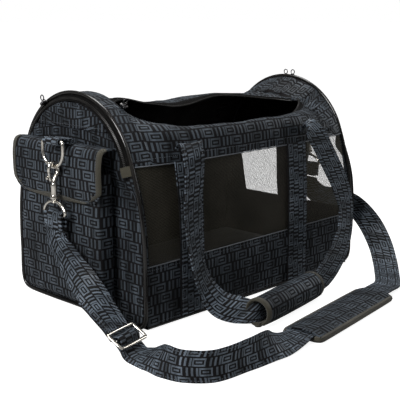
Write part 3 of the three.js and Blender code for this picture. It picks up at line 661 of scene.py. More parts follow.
# %% Stitch builder
def stitching(name, lines, body, pitch=3.4 * MM, length=2.4 * MM, radius=0.38 * MM):
    """One mesh of stitches. lines are (points, normals) pairs that lie on the cloth."""
    points, faces = [], []
    for line, normal in lines:
        run = run_along(line)
        for at in np.arange(pitch / 2, run[-1], pitch):
            ends = [read_rows(np.clip(at + s, 0, run[-1]), run, line) for s in (-length / 2, length / 2)]
            up = unit(read_rows(at, run, normal))
            along = unit(ends[1] - ends[0])
            side = np.cross(along, up)
            centre = (ends[0] + ends[1]) / 2
            base = len(points)
            points += [ends[0], centre + side * radius, centre + up * radius * 1.3, centre - side * radius,
                       centre - up * radius * 0.5, ends[1]]
            for k in range(4):
                a, b = base + 1 + k, base + 1 + (k + 1) % 4
                faces += [(base, b, a), (base + 5, a, b)]
    return mesh_object(name, points, faces, thread, body, np.zeros((len(points), 2)))


def seam(grid, lift, row=None, column=None):
    """A line on a cloth grid at a share of its rows or columns, lifted off the middle of the sheet."""
    normal = grid_normals(grid)
    if column is not None:
        grid, normal, row = grid.swapaxes(0, 1), normal.swapaxes(0, 1), column
    at = row * (len(grid) - 1)
    i = int(min(at, len(grid) - 2))
    return mix(grid[i], grid[i + 1], at - i) + normal[i] * lift, normal[i]


def binding(name, edge, inward, normal, body, reach, gap):
    """Tape folded over a cut edge: down one face, round the edge and up the other."""
    section = [(reach, gap), (reach * 0.5, gap + 0.35 * MM), (0.6 * MM, gap * 0.95), (-0.9 * MM, 0),
               (0.6 * MM, -gap * 0.95), (reach * 0.5, -gap - 0.35 * MM), (reach, -gap)]
    grid = np.stack([edge + inward * a + normal * b for a, b in section], axis=1)
    return cloth(name, grid, 0.7 * MM, binding_tape, body)


print("stitch builder ready")

# %% [markdown]
# ## The shoulder strap's route
# The strap comes off the left hook's eye, drops to the floor, turns back on edge, lies flat through its
# shoulder pad and rises to the right hook. It is one long flat cord, laid first and at its real length. The
# few short stretches nearest each hook are cut off as pieces of their own, one for each step of the chain
# from the hook to the bag.

# %% Shoulder strap
STRAP_WIDTH = 38 * MM
STRAP_ROUTE = route([
    ((-271, -15, 123.6), (0, -1, 0)), ((-271, -15, 112), (0, -1, 0)), ((-273, -45, 88), (0.1, -1, 0.2)),
    ((-276, -80, 66), (0.5, -0.8, 0.3)), ((-278.5, -112, 47), (0.97, -0.1, 0.1)),
    ((-281, -146, 28), (0.97, 0.22, 0)), ((-283.5, -180, 9), (0.97, 0.22, 0)),
    ((-284.4, -188, 5.2), (0.97, 0.22, 0.05)), ((-286, -203, 5.5), (0.95, 0.2, 0.2)),
    ((-290, -226, 11), (0.8, 0.1, 0.5)), ((-297, -252, 17), (0.3, 0, 0.95)),
    ((-296, -281, 19.5), (0, 0, 1)), ((-272, -306, 19.5), (0, 0.05, 1)), ((-217, -312, 19.5), (0, 0.1, 1)),
    ((-175, -309, 17.5), (0, 0.5, 0.85)), ((-150, -304, 12), (0, 0.85, 0.5)),
    ((-124, -299, 8.8), (-0.12, 0.99, 0.04)), ((-100, -295, 8.6), (-0.12, 0.99, 0)),
    ((0, -282, 8.6), (-0.12, 0.99, 0)), ((84, -271, 8.6), (-0.12, 0.99, 0)),
    ((133, -264.67, 8.6), (-0.12, 0.99, 0)), ((143, -263.4, 8.4), (-0.13, 0.99, 0)),
    ((168, -250, 5.5), (-0.4, 0.9, 0.05)), ((200, -228, 6), (-0.5, 0.86, 0.1)),
    ((236, -200, 15), (-0.6, 0.75, -0.2)), ((256, -176, 36), (-0.6, 0.6, -0.4)),
    ((263, -150, 64), (-0.3, 0.6, -0.7)), ((266, -118, 86), (0, 0.5, -0.85)),
    ((269, -80, 92), (0, 0.3, -0.95)), ((270.5, -46, 92), (0, 0.5, -0.85)),
    ((271, -22, 104), (0, 0.93, -0.35)), ((271, -15, 115), (0, 1, 0)), ((271, -15, 123.6), (0, 1, 0))])
STRAP_STEPS, STRETCH = 420, 9
strap_grid, strap_line = ribbon(STRAP_ROUTE, STRAP_WIDTH, STRAP_STEPS, 6)
strap_pattern = pattern_of(strap_grid)


def strap_stretch(name, first, last):
    """A short stretch of strap, cut from the strap's grid between two of its stations."""
    part = slice(first, last + 1)
    piece = cloth(name, strap_grid[part], 1.9 * MM, strap_cloth, None, pattern=strap_pattern[part])
    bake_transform(piece)


LEFT_CHAIN = ["left_swivel", "left_hook", "left_ring", "pocket_flap", "shell"]
RIGHT_CHAIN = ["shell", "right_ring", "right_hook", "right_swivel"]
begin = STRETCH * (len(LEFT_CHAIN) - 1)
finish = STRAP_STEPS - STRETCH * (len(RIGHT_CHAIN) - 1)
for where, start, chain in (("left", 0, LEFT_CHAIN), ("right", finish, RIGHT_CHAIN)):
    for k in range(len(chain) - 1):
        at = start + k * STRETCH
        strap_stretch(f"strap_{where}_stretch_{k}", at, at + STRETCH)
strap_grid, strap_line, strap_pattern = (a[begin:finish + 1]
                                         for a in (strap_grid, strap_line, strap_pattern))
strap = cloth("shoulder_strap", strap_grid, 1.9 * MM, strap_cloth, "shell", pattern=strap_pattern,
              replaces=["strap_drop", "strap_floor", "strap_rise"])

# %% [markdown]
# ## The bag's form
# The ends are arches: upright flanks that lean in and meet a round crown. The long walls stand straighter
# between them. Above the windows the two halves of the top meet on the zip's line near the ends, and are
# pulled apart in the middle, where the crown also hangs lower towards the right.

# %% Bag form
def arch_half(z):
    lean = np.maximum(z - FLANK_Z, 0) / (SHOULDER_Z - FLANK_Z)
    flank = HALF_DEPTH - 23.2 * MM * lean**2
    crown = np.sqrt(np.maximum(CROWN_RADIUS**2 - (z - CROWN_Z) ** 2, 0))
    return np.where(z > SHOULDER_Z, crown, flank)


def wall_half(x, z):
    between = 1 - np.abs(x / HALF) ** 4
    straight = HALF_DEPTH - 9 * MM * (np.maximum(z - FLANK_Z, 0) / (160 * MM)) ** 2
    return mix(arch_half(z), straight, between)


def wall_grid(side, z0, z1, columns, rows, inset=0.0, x0=-WALL_END, x1=WALL_END):
    x, z = np.meshgrid(np.linspace(x0, x1, columns), np.linspace(z0, z1, rows), indexing="ij")
    y = side * (wall_half(x, z) - inset)
    grid = np.stack([x, y, z], axis=-1)
    return grid if side < 0 else grid[::-1]


slit_middle, slit_half = sum(SLIT) / 2, (SLIT[1] - SLIT[0]) / 2


def spread(x):
    return np.maximum(1 - np.abs((x - slit_middle) / slit_half) ** 2.6, 0) ** 0.5


def sag(x):
    tail = np.maximum(x - 150 * MM, 0) / (HALF - 150 * MM)
    return 26 * MM * smooth(x, -150 * MM, 150 * MM) * (1 - tail**2)


def crown(x, angle):
    z = CROWN_Z + CROWN_RADIUS * np.cos(angle)
    drop = sag(x) * np.clip((z - SHOULDER_Z) / (85 * MM), 0, 1)
    return np.stack([x, CROWN_RADIUS * np.sin(angle), z - drop], axis=-1)


def lip_lift(x):
    waves = np.array([(-195, 0), (-120, 14), (0, 2), (110, -4), (150, 8), (178, 4)]) * MM
    t = np.clip((x - SLIT[0]) / (SLIT[1] - SLIT[0]), 0, 1)
    return catmull(np.c_[waves, np.zeros(len(waves))], t.ravel())[:, 1].reshape(t.shape)


def top_grid(side, columns=150, rows=26, end=1.0):
    """One half of the top, from the wall's band up to the zip's lip. side is -1 in front, 1 at the back."""
    u, v = np.meshgrid(np.linspace(0, 1, columns), np.linspace(0, end, rows), indexing="ij")
    bend = slit_middle - slit_half * np.cos(np.clip(math.pi * (u - 0.06) / 0.84, 0, math.pi))
    right = mix(SLIT[1], WALL_END, (u - 0.9) / 0.1)
    x = np.where(u < 0.06, mix(-WALL_END, SLIT[0], u / 0.06), np.where(u > 0.9, right, bend))
    root_z = BAND_HIGH_Z + 0.5 * MM
    shoulder = math.acos((root_z - CROWN_Z) / CROWN_RADIUS)
    slit_angle = math.asin(SLIT_Y / CROWN_RADIUS)
    root = np.stack([x, side * wall_half(x, root_z), np.full_like(x, root_z)], axis=-1)
    closed = crown(x, mix(side * shoulder, slit_angle + side * 0.003, v))
    closed[..., 1] += (1 - v) * (root[..., 1] - crown(x, np.full_like(x, side * shoulder))[..., 1])
    if side < 0:
        guide = [(-133, 258, 0), (-124, 262, 0), (-104, 249, 0)]
    else:
        guide = [(133, 262, 0), (98, 277, 0), (52, 268, 1)]
    lift = lip_lift(x)
    marks = [root] + [np.stack([x, np.full_like(x, y * MM), z * MM + lifted * lift], axis=-1)
                      for y, z, lifted in guide]
    w = v[..., None]
    weights = (1 - w) ** 3, 3 * w * (1 - w) ** 2, 3 * w**2 * (1 - w), w**3
    opened = sum(weight * mark for weight, mark in zip(weights, marks))
    grid = mix(closed, opened, spread(x)[..., None])
    inwards = np.stack([x, np.zeros_like(x), np.full_like(x, 120 * MM)], axis=-1) - grid
    grid = grid + unit(inwards) * 1.2 * MM
    return grid if side < 0 else grid[::-1]


print("slit from", SLIT[0], "to", SLIT[1])

# %% [markdown]
# ## Long walls
# Below the window each wall is one padded band. It bows out between its seams. The front has the window; the
# back is cloth all the way up. The strips of webbing that carry the handles are sewn over both from the base
# to the top band.

# %% Long walls
def soft_wall(name, side, z0, z1, rows, seed, node):
    """A padded band of a long wall between two heights, and its grid."""
    grid = wall_grid(side, z0, z1, 130, rows, 1.2 * MM)
    soft = fade(130, rows, 0.2)
    grid = grid + grid_normals(grid) * (soft * 2.0 * MM)[..., None]
    grid = rumple(grid, 70 * MM, soft * 3.0 * MM, seed)
    cloth(name, grid, SHELL_THICK, shell_cloth, "shell", lining_cloth, replaces=[node])
    return grid


wall_lines = []
for side_name, side in (("front", -1), ("back", 1)):
    low_grid = soft_wall(side_name + "_lower_wall", side, BASE_Z, BAND_LOW_Z, 24, 3 + side,
                         side_name + "_lower_panel")
    wall_lines += [seam(low_grid, ON_SHELL, column=0.95), seam(low_grid, ON_SHELL, column=0.04)]
    for where, x in WEBBING_X.items():
        strip = wall_grid(side, BASE_Z + 2 * MM, BAND_HIGH_Z + 1 * MM, 10, 60, -2.6 * MM,
                          x - WEBBING_HALF, x + WEBBING_HALF)
        strip = rumple(strip, 90 * MM, 1.2 * MM, 11)
        cloth(f"{side_name}_strip_{where}", strip, WEBBING_THICK, strap_cloth, "shell",
              pattern=pattern_of(strip)[..., ::-1], replaces=[f"{side_name}_webbing_{where}"])
        wall_lines += [seam(strip, ON_WEBBING, row=0.08), seam(strip, ON_WEBBING, row=0.92)]
soft_wall("back_middle_wall", 1, BAND_LOW_Z - 0.5 * MM, BAND_HIGH_Z + 2 * MM, 40, 9, "back_middle_panel")
window_grid = wall_grid(-1, BAND_LOW_Z, BAND_HIGH_Z, 110, 30, 2.2 * MM)
window_grid = rumple(window_grid, 120 * MM, fade(110, 30) * 2.0 * MM, 5, 0.0)
cloth("front_window", window_grid, 0.05 * MM, net, "shell", replaces=["front_mesh"])
stitching("wall_stitches", wall_lines, "shell")
for name, z in (("front_low_hem", BAND_LOW_Z + 1 * MM), ("front_high_hem", BAND_HIGH_Z - 1 * MM)):
    edge_line = wall_grid(-1, z, z + 1 * MM, 90, 2, -0.5 * MM)[:, 0]
    sweep(name, edge_line, 0.75 * MM, thread, "shell", sides=8)
for name, side in (("front_base_piping", -1), ("back_base_piping", 1)):
    edge_line = np.array([(x, side * (HALF_DEPTH - 1.5 * MM), 4.5 * MM)
                          for x in np.linspace(-HALF + 7 * MM, HALF - 7 * MM, 60)])
    sweep(name, edge_line, 2.0 * MM, vinyl, "shell", sides=10)
print("wall pieces", len(wall_lines))

# %% [markdown]
# ## The open top
# Each half is a single loft from the band over the shoulder to the lip. The front half folds sharply and
# hangs inwards, and the cloth gathers in small folds where the slit ends near the right arch. The zip's two
# tapes and coils follow the lips.

# %% Open top
def zip_teeth(name, line, across, up, body, pitch=2.3 * MM, size=(1.5 * MM, 3.4 * MM, 1.5 * MM)):
    """A coil drawn as a row of small bevelled teeth along a line."""
    run = run_along(line)
    points, faces = [], []
    for at in np.arange(pitch, run[-1] - pitch / 2, pitch):
        centre, side, over = (read_rows(at, run, rows) for rows in (line, across, up))
        side, over = unit(side), unit(over)
        along = np.cross(side, over)
        base = len(points)
        for layer, shrink in ((-0.5, 1.0), (0.5, 0.7)):
            for a, b in ((-1, -1), (1, -1), (1, 1), (-1, 1)):
                points.append(centre + along * a * size[0] / 2 * shrink + side * b * size[1] / 2 * shrink
                              + over * layer * size[2])
        faces += [tuple(base + k for k in f) for f in
                  ((3, 2, 1, 0), (4, 5, 6, 7), (0, 1, 5, 4), (1, 2, 6, 5), (2, 3, 7, 6), (3, 0, 4, 7))]
    if volume_of(points[:8], faces[:6]) < 0:
        faces = [f[::-1] for f in faces]
    return mesh_object(name, points, faces, coil_nylon, body, np.zeros((len(points), 2)), crease=30)


top_lines = []
for side_name, side in (("front", -1), ("back", 1)):
    grid = top_grid(side)
    x = grid[..., 0]
    soft = fade(*grid.shape[:2], 0.12)
    gather = smooth(x, 125 * MM, 190 * MM)
    grid = rumple(grid, 80 * MM, soft * 3.5 * MM, 21 + side)
    grid = rumple(grid, 20 * MM, soft * gather * 3.0 * MM, 31 + side, 0.7)
    turns = np.linspace(0, 1, grid.shape[1])[None, :] * (46 if side > 0 else 30) + 16 * (x - 0.15)
    pucker = 1 - 2 * np.abs(np.sin(turns + 0.9 * np.sin(turns * 0.37))) ** 0.8
    grid = grid + grid_normals(grid) * (pucker * gather * soft * 2.6 * MM)[..., None]
    cloth(f"{side_name}_top", grid, SHELL_THICK, shell_cloth, "shell", lining_cloth,
          replaces=[f"{side_name}_top_panel"])
    top_lines += [seam(grid, ON_SHELL, column=0.08), seam(grid, ON_SHELL, column=0.955)]
    lip = grid[20:-18, -1]
    inner = unit(grid[20:-18, -1] - grid[20:-18, -3])
    up = grid_normals(grid)[20:-18, -1]
    steps = [-3 * MM if side < 0 else -9 * MM, -1.5 * MM, 0.5 * MM, 4 * MM, 7.5 * MM]
    tape = np.stack([lip + inner * s + up * (1.9 * MM if s < 0 else 0.2 * MM) for s in steps], axis=1)
    cloth(f"{side_name}_zip_tape", tape, 0.8 * MM, dark_tape, "shell", replaces=[f"top_zip_{side_name}"])
    zip_teeth(f"{side_name}_zip_coil", lip + inner * 7.0 * MM + up * 0.8 * MM, inner, up, "shell")
stitching("top_stitches", top_lines, "shell")
print("top lines", len(top_lines))

# %% [markdown]
# ## Ends
# Each end is a soft arch that puffs outwards. The left one is cloth; the right one has net windows either
# side of a strip of webbing, so daylight shows through the bag. The zip band runs round the crown, outside a
# door that folds down, and glossy piping closes the whole edge. On the right the cloth also rolls out past
# the piping, down both flanks.

# %% End surfaces
PUFF = {"left": 2.5 * MM, "right": 19 * MM}
RIM = 6 * MM
EDGE = 3.8 * MM
CORNER = 16 * MM


def end_half(z):
    below = np.maximum(CORNER + BASE_Z - z, 0)
    corner = CORNER - np.sqrt(np.maximum(CORNER**2 - below**2, 0))
    full = arch_half(z) - EDGE - corner
    beside = np.sqrt(np.maximum(DOOR_RADIUS**2 - (z - CROWN_Z) ** 2, 0)) - 0.4 * MM
    return mix(full, beside, smooth(z, ZIP_STOP_Z - 38 * MM, ZIP_STOP_Z - 16 * MM))


def puff(where, y, z):
    level = np.where(z > CROWN_Z, np.hypot(y, z - CROWN_Z) / DOOR_RADIUS, np.abs(y) / end_half(z))
    height = np.exp(-(((z - 205 * MM) / (80 * MM)) ** 2))
    return RIM * smooth(z, 185 * MM, ZIP_STOP_Z) + PUFF[where] * height * (1 - np.minimum(level, 1) ** 6)


def end_grid(where, z0, z1, columns, rows, inset=0.0, low=-1.0, high=1.0):
    sign = -1 if where == "left" else 1
    u, z = np.meshgrid(np.linspace(low, high, columns), np.linspace(z0, z1, rows), indexing="ij")
    y = u * end_half(z)
    grid = np.stack([sign * (HALF - inset + puff(where, y, z)), y, z], axis=-1)
    return grid if sign > 0 else grid[::-1]


def door_grid(where, columns=44, rows=26):
    sign = -1 if where == "left" else 1
    top = CROWN_Z + DOOR_RADIUS - 0.8 * MM
    u, v = np.meshgrid(np.linspace(-1, 1, columns), np.linspace(0, 1, rows), indexing="ij")
    z = mix(FOLD_Z + 0.5 * MM, top, 1 - (1 - v) ** 2)
    ease = 0.6 * MM + 3.4 * MM * (1 - smooth(z, FOLD_Z, FOLD_Z + 14 * MM))
    y = u * (np.sqrt(DOOR_RADIUS**2 - (z - CROWN_Z) ** 2) - ease)
    grid = np.stack([sign * (HALF + puff(where, y, z)), y, z], axis=-1)
    return grid if sign > 0 else grid[::-1]


print("end half-width at the base", round(float(end_half(np.array(30 * MM))), 4))

# %% [markdown]
# The end's cloth is one sheet on the left and three on the right. The fold of each door is a soft hinge, so
# the door is its own piece on its own body.

# %% End panels and doors
end_lines = {"shell": [], "left_door": [], "right_door": []}
left_grid = end_grid("left", BASE_Z, FOLD_Z - 0.5 * MM, 60, 70)
left_grid = rumple(left_grid, 80 * MM, fade(60, 70, 0.1) * 2.0 * MM, 41)
cloth("left_end", left_grid, SHELL_THICK, shell_cloth, "shell", lining_cloth, replaces=["left_end_panel"])
low = end_grid("right", BASE_Z, 92 * MM, 60, 30)
low = rumple(low, 80 * MM, fade(60, 30, 0.1) * 2.0 * MM, 42)
cloth("right_end_low", low, SHELL_THICK, shell_cloth, "shell", lining_cloth,
      replaces=["right_end_lower_panel"])
high = end_grid("right", ZIP_STOP_Z + 0.5 * MM, FOLD_Z - 0.5 * MM, 60, 14)
cloth("right_end_high", high, SHELL_THICK, shell_cloth, "shell", lining_cloth,
      replaces=["right_end_upper_panel"])
end_window = end_grid("right", 92 * MM, ZIP_STOP_Z, 60, 40, 0.6 * MM)
cloth("right_end_window", end_window, 0.05 * MM, net, "shell", replaces=["right_end_mesh"])
end_lines["shell"] += [seam(low, ON_SHELL, column=0.96), seam(high, ON_SHELL, column=0.1)]


def window_shade_lining(name, edges):
    """Dark lining behind part of a net window, as painted shade for the inside of the bag. edges(z) gives
    where it starts and stops across.
    """
    z = np.linspace(91 * MM, ZIP_STOP_Z + 1 * MM, 36)
    low_y, high_y = edges(z)
    y = mix(low_y[None, :], high_y[None, :], np.linspace(0, 1, 12)[:, None])
    z = np.broadcast_to(z, y.shape)
    y = np.clip(y, -end_half(z) + 1 * MM, end_half(z) - 1 * MM)
    grid = np.stack([HALF - 2.2 * MM + puff("right", y, z), y, z], axis=-1)
    cloth(name, grid, 0.8 * MM, lining_cloth, "shell")


# Painted shade: three dark sheets block parts of the end window, so that only a patch of daylight shows
# through the net.
window_shade_lining("window_facing_back", lambda z: (87 * MM + (z - 89 * MM) * 0.29, np.full_like(z, 140 * MM)))
window_shade_lining("window_facing_middle", lambda z: (np.full_like(z, -34 * MM), 14 * MM + (z - 90 * MM) * 0.2))
window_shade_lining("window_facing_top", lambda z: (np.full_like(z, 10 * MM),
                                              10 * MM + 125 * MM * smooth(z, 176 * MM, 178 * MM)))

strip_z = np.linspace(BASE_Z + 4 * MM, FOLD_Z - 3 * MM, 70)
strip_y = RING_Y + np.linspace(-WEBBING_HALF, WEBBING_HALF, 8)
y, z = np.meshgrid(strip_y, strip_z, indexing="ij")
strip = np.stack([HALF + puff("right", y, z) + 3.5 * MM, y, z], axis=-1)
cloth("right_end_strip", strip, WEBBING_THICK, strap_cloth, "shell", pattern=pattern_of(strip)[..., ::-1],
      replaces=["right_end_webbing"])
end_lines["shell"] += [seam(strip, ON_WEBBING, row=0.08), seam(strip, ON_WEBBING, row=0.92)]
for where in ("left", "right"):
    grid = door_grid(where)
    cloth(where + "_door_cloth", grid, SHELL_THICK, shell_cloth, where + "_door", lining_cloth,
          replaces=[where + "_door"])
    end_lines[where + "_door"].append(seam(grid, ON_SHELL, column=0.06))
for body_name, lines in end_lines.items():
    stitching(f"{body_name}_end_stitches", lines, body_name)
ROLL_LOW, ROLL_HIGH, ROLL_REACH = 34 * MM, 226 * MM, 12 * MM
for side, label in ((-1, "front"), (1, "back")):
    z, v = np.meshgrid(np.linspace(ROLL_LOW, ROLL_HIGH, 70), np.linspace(0, 1, 14), indexing="ij")
    reach = ROLL_REACH * smooth(z, ROLL_LOW, 90 * MM) * (1 - smooth(z, 140 * MM, ROLL_HIGH))
    roll_x = HALF + 0.8 * MM + reach * np.sin(math.pi * v) ** 0.6
    roll_y = side * (arch_half(z) + 0.6 * MM - 4.5 * MM * (1 - np.cos(math.pi * v)))
    roll = np.stack([roll_x, roll_y, z], axis=-1)
    roll = roll if side < 0 else roll[::-1]
    cloth("right_rolled_edge_" + label, roll, 1.2 * MM, dark_tape, "shell")
print("end seams", {k: len(v) for k, v in end_lines.items()})

# %% [markdown]
# ## Piping and end zips
# Piping is vinyl wrapped round a cord, with a flat lip sewn into the seam. The band between it and the door
# is woven zip tape with a coil down its middle, and small olive tabs cover the two ends of each zip.

# %% Piping and end zips
def end_outline():
    """Half-depth and height of points all the way round an arched end."""
    flank = [(float(arch_half(np.array(z * MM))), z * MM) for z in (18, 60, 93, 130, 170)]
    round_top = arc((0, CROWN_Z), CROWN_RADIUS, 17, 163, 13)
    left = [(-y, z) for y, z in reversed(flank)]
    base = [(-HALF_DEPTH + 5 * MM, 7 * MM), (-HALF_DEPTH + 16 * MM, 2.9 * MM), (0, 2.9 * MM),
            (HALF_DEPTH - 16 * MM, 2.9 * MM), (HALF_DEPTH - 5 * MM, 7 * MM)]
    return np.array(flank + [tuple(p) for p in round_top] + left + base)


outline = end_outline()


def seam_allowance(name, sign):
    """The strip that joins the walls and the top to the piping, following the crown where it sags."""
    loop, _ = even(np.c_[np.zeros(len(outline)), outline], 200, closed=True)
    loop = np.concatenate([loop, loop[:1]])
    grid = []
    for x in sign * (HALF - np.linspace(7, -0.2, 6) * MM):
        line = loop - unit(loop - np.array([0, 0, 120 * MM])) * 1.6 * MM
        drop = sag(np.full(len(line), x)) * np.clip((line[:, 2] - SHOULDER_Z) / (85 * MM), 0, 1)
        grid.append(np.c_[np.full(len(line), x), line[:, 1], line[:, 2] - drop])
    grid = np.stack(grid, axis=0)
    cloth(name, grid if sign < 0 else grid[::-1], 1.2 * MM, shell_cloth, "shell", lining_cloth)


def door_hinge(name, where, sign):
    """A strip of lining behind a door's fold."""
    heights = np.linspace(FOLD_Z - 7 * MM, FOLD_Z + 7 * MM, 15)
    y, z = np.meshgrid(np.linspace(-76, 76, 40) * MM, heights, indexing="ij")
    grid = np.stack([sign * (HALF + puff(where, y, z) - 1.9 * MM), y, z], axis=-1)
    strip = cloth(name, grid if sign > 0 else grid[::-1], 0.8 * MM, lining_cloth, None)
    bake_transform(strip)


for where, sign in (("left", -1), ("right", 1)):
    loop = np.c_[np.full(len(outline), sign * (HALF + 0.1 * MM)), outline]
    points, _ = even(loop, 240, closed=True)
    sweep(where + "_piping_cord", points, 2.6 * MM, vinyl, "shell", closed=True, sides=12,
          replaces=[where + "_piping"])
    seam_allowance(where + "_arch_seam", sign)
    door_hinge(where + "_door_hinge", where, sign)
    pull = unit((np.array([0, 0, 150 * MM]) - points) * np.array([0, 1, 1]))
    outside = np.array([sign * 0.4 * MM, 0, 0])
    lip = np.stack([points + pull * s + outside for s in (1.5 * MM, 5.5 * MM)], axis=1)
    lip = np.concatenate([lip, lip[:1]])
    cloth(where + "_piping_lip", lip, 0.9 * MM, dark_tape, "shell")
    reach = math.acos((ZIP_STOP_Z - CROWN_Z) / CROWN_RADIUS)
    angle, v = np.meshgrid(np.linspace(-reach, reach, 90), np.linspace(0, 1, 7), indexing="ij")
    radius = mix(CROWN_RADIUS - EDGE, DOOR_RADIUS + 0.6 * MM, v)
    x = sign * (HALF + (RIM + 0.5 * MM) * v + 1.2 * MM * np.sin(math.pi * v))
    band = np.stack([x, radius * np.sin(angle), CROWN_Z + radius * np.cos(angle)], axis=-1)
    band = band if sign < 0 else band[::-1]
    cloth(where + "_zip_band", band, 1.4 * MM, dark_tape, "shell", replaces=[where + "_end_zip"])
    radius = mix(CROWN_RADIUS - 2 * MM, DOOR_RADIUS - 5 * MM, v)
    x = sign * (HALF - 1.5 * MM + (RIM - 1.5 * MM) * v)
    facing = np.stack([x, radius * np.sin(angle), CROWN_Z + radius * np.cos(angle)], axis=-1)
    cloth(where + "_zip_facing", facing if sign < 0 else facing[::-1], 0.8 * MM, dark_tape, "shell")
    middle, up = band[:, 3], grid_normals(band)[:, 3]
    across = unit(band[:, 4] - band[:, 2])
    zip_teeth(where + "_end_coil", middle + up * 1.3 * MM, across, up, "shell")
    for side in (-1, 1):
        end_point = middle[0 if side * sign > 0 else -1]
        along = unit(middle[4 if side * sign > 0 else -5] - end_point)
        out = up[0 if side * sign > 0 else -1]
        wide = np.cross(along, out)
        tab = np.stack([[end_point + along * a + wide * b + out * (2.0 + 0.5 * math.cos(a / (4 * MM))) * MM
                         for b in np.linspace(-6.5, 6.5, 5) * MM] for a in np.linspace(-9, 4, 8) * MM])
        if np.dot(grid_normals(tab)[0, 0], out) < 0:
            tab = tab[:, ::-1]
        label = f"{where}_zip_stop_{'front' if side < 0 else 'back'}"
        cloth(label, tab, 0.9 * MM, binding_tape, "shell")
        heights = np.linspace(166 * MM, ZIP_STOP_Z + 3 * MM, 24)
        z, v = np.meshgrid(heights, np.linspace(0, 1, 6), indexing="ij")
        inner_y, outer_y = end_half(z) - 3 * MM, arch_half(z) - 1.5 * MM
        x = sign * (HALF + mix(RIM * smooth(z, 185 * MM, ZIP_STOP_Z), 0.2 * MM, v) + 0.4 * MM)
        gusset = np.stack([x, side * mix(inner_y, outer_y, v), z], axis=-1)
        gusset = gusset[::-1] if side * sign > 0 else gusset
        cloth(label.replace("stop", "gusset"), gusset, 1.6 * MM, shell_cloth, "shell", lining_cloth)
print("outline points", len(outline))

# %% [markdown]
# ## Zip sliders
# A slider is a small wedge of plated metal with a bridge over it. A ring in the bridge is its pull.
# Its tapered body is drawn as an outline and given bevelled edges; bridge and ring are bent wire.

# %% Zip sliders
def local_frame(origin, along, up):
    """A function from a slider's own millimetres to the frame, given where it sits and how it lies."""
    along = unit(np.asarray(along, float))
    up = unit(np.asarray(up, float) - along * np.dot(up, along))
    side = np.cross(up, along)
    return lambda points: origin + (np.asarray(points, float) * MM) @ np.array([along, side, up])


def bevelled_plate(name, place, outline_points, z0, z1, material, body, bevel, replaces):
    """A plate with a rounded outline: its rim is stepped in towards the top and the bottom."""
    outline_points = np.asarray(outline_points, float)
    centre = outline_points.mean(0)
    away = unit(outline_points - centre)
    layers = [(z0, bevel), (z0 + bevel * 0.4, bevel * 0.3), (z0 + bevel, 0), (z1 - bevel, 0),
              (z1 - bevel * 0.4, bevel * 0.3), (z1, bevel)]
    count = len(outline_points)
    points = np.concatenate([np.c_[outline_points - away * inset, np.full(count, z)] for z, inset in layers])
    faces = []
    for i in range(len(layers) - 1):
        for j in range(count):
            k = (j + 1) % count
            faces.append((i * count + j, i * count + k, (i + 1) * count + k, (i + 1) * count + j))
    faces += [tuple(range(count))[::-1], tuple((len(layers) - 1) * count + j for j in range(count))]
    points = place(points)
    flat_pattern = np.zeros((len(points), 2))
    return mesh_object(name, points, outward(points, faces), material, body, flat_pattern, crease=45,
                       replaces=replaces)


def zip_slider(name, body, pull_body, origin, along, up):
    place = local_frame(origin, along, up)
    wedge = np.concatenate([arc((3.6, 2.6), 1.6, -80, 80, 6), arc((-2, 3.4), 1.8, 60, 200, 6),
                            arc((-2, -3.4), 1.8, 160, 300, 6), arc((3.6, -2.6), 1.6, -80, 80, 6)])
    wedge = wedge[np.argsort(np.arctan2(wedge[:, 1], wedge[:, 0]))]
    bevelled_plate(name + "_wedge", place, wedge, -1.7, 1.9, gunmetal, body, 0.7,
                   replaces=[name + "_slider"])
    bridge = np.array([(-4.6, 0, 1.2), (-4, 0, 3), (-1.5, 0, 3.9), (2, 0, 3.9), (4.2, 0, 3), (4.6, 0, 1.2)])
    points, _ = even(place(bridge), 24)
    sweep(name + "_bridge", points, 0.75 * MM, gunmetal, body, sides=8)
    ring = np.c_[arc((0, 8.0), 3.6, 0, 360, 29)[:-1], np.zeros(28)][:, [0, 2, 1]]
    sweep(name + "_ring", place(ring), 0.8 * MM, gunmetal, pull_body, closed=True, sides=8,
          replaces=[name + "_pull"])


SLIDER_RADIUS = CROWN_RADIUS - 2 * MM
for name, sign, angle, body, pull_body in (
        ("left_zip", -1, 30, "left_slider", "left_pull"),
        ("right_zip_front", 1, -3.4, "right_slider_front", "right_pull_front"),
        ("right_zip_back", 1, 3.4, "right_slider_back", "right_pull_back")):
    turn = math.radians(angle)
    out = np.array([0, math.sin(turn), math.cos(turn)])
    origin = np.array([sign * (HALF + 7 * MM), 0, CROWN_Z]) + out * SLIDER_RADIUS
    zip_slider(name, body, pull_body, origin, (0, math.cos(turn), -math.sin(turn)), out)
zip_slider("top_zip", "top_slider", "top_pull", np.array([SLIT[0] + 2 * MM, SLIT_Y - 4 * MM, 285.4 * MM]),
           (1, 0, 0), (0, -math.sin(math.radians(32)), math.cos(math.radians(32))))
print("sliders 4")

# %% [markdown]
# ## Pocket and flap
# The pocket is a shallow bag of the same cloth, deeper at its middle, with soft corners. Its flap is sewn
# along its top, folds over the front and hangs below the mouth. Olive tape binds the flap's cut edges.

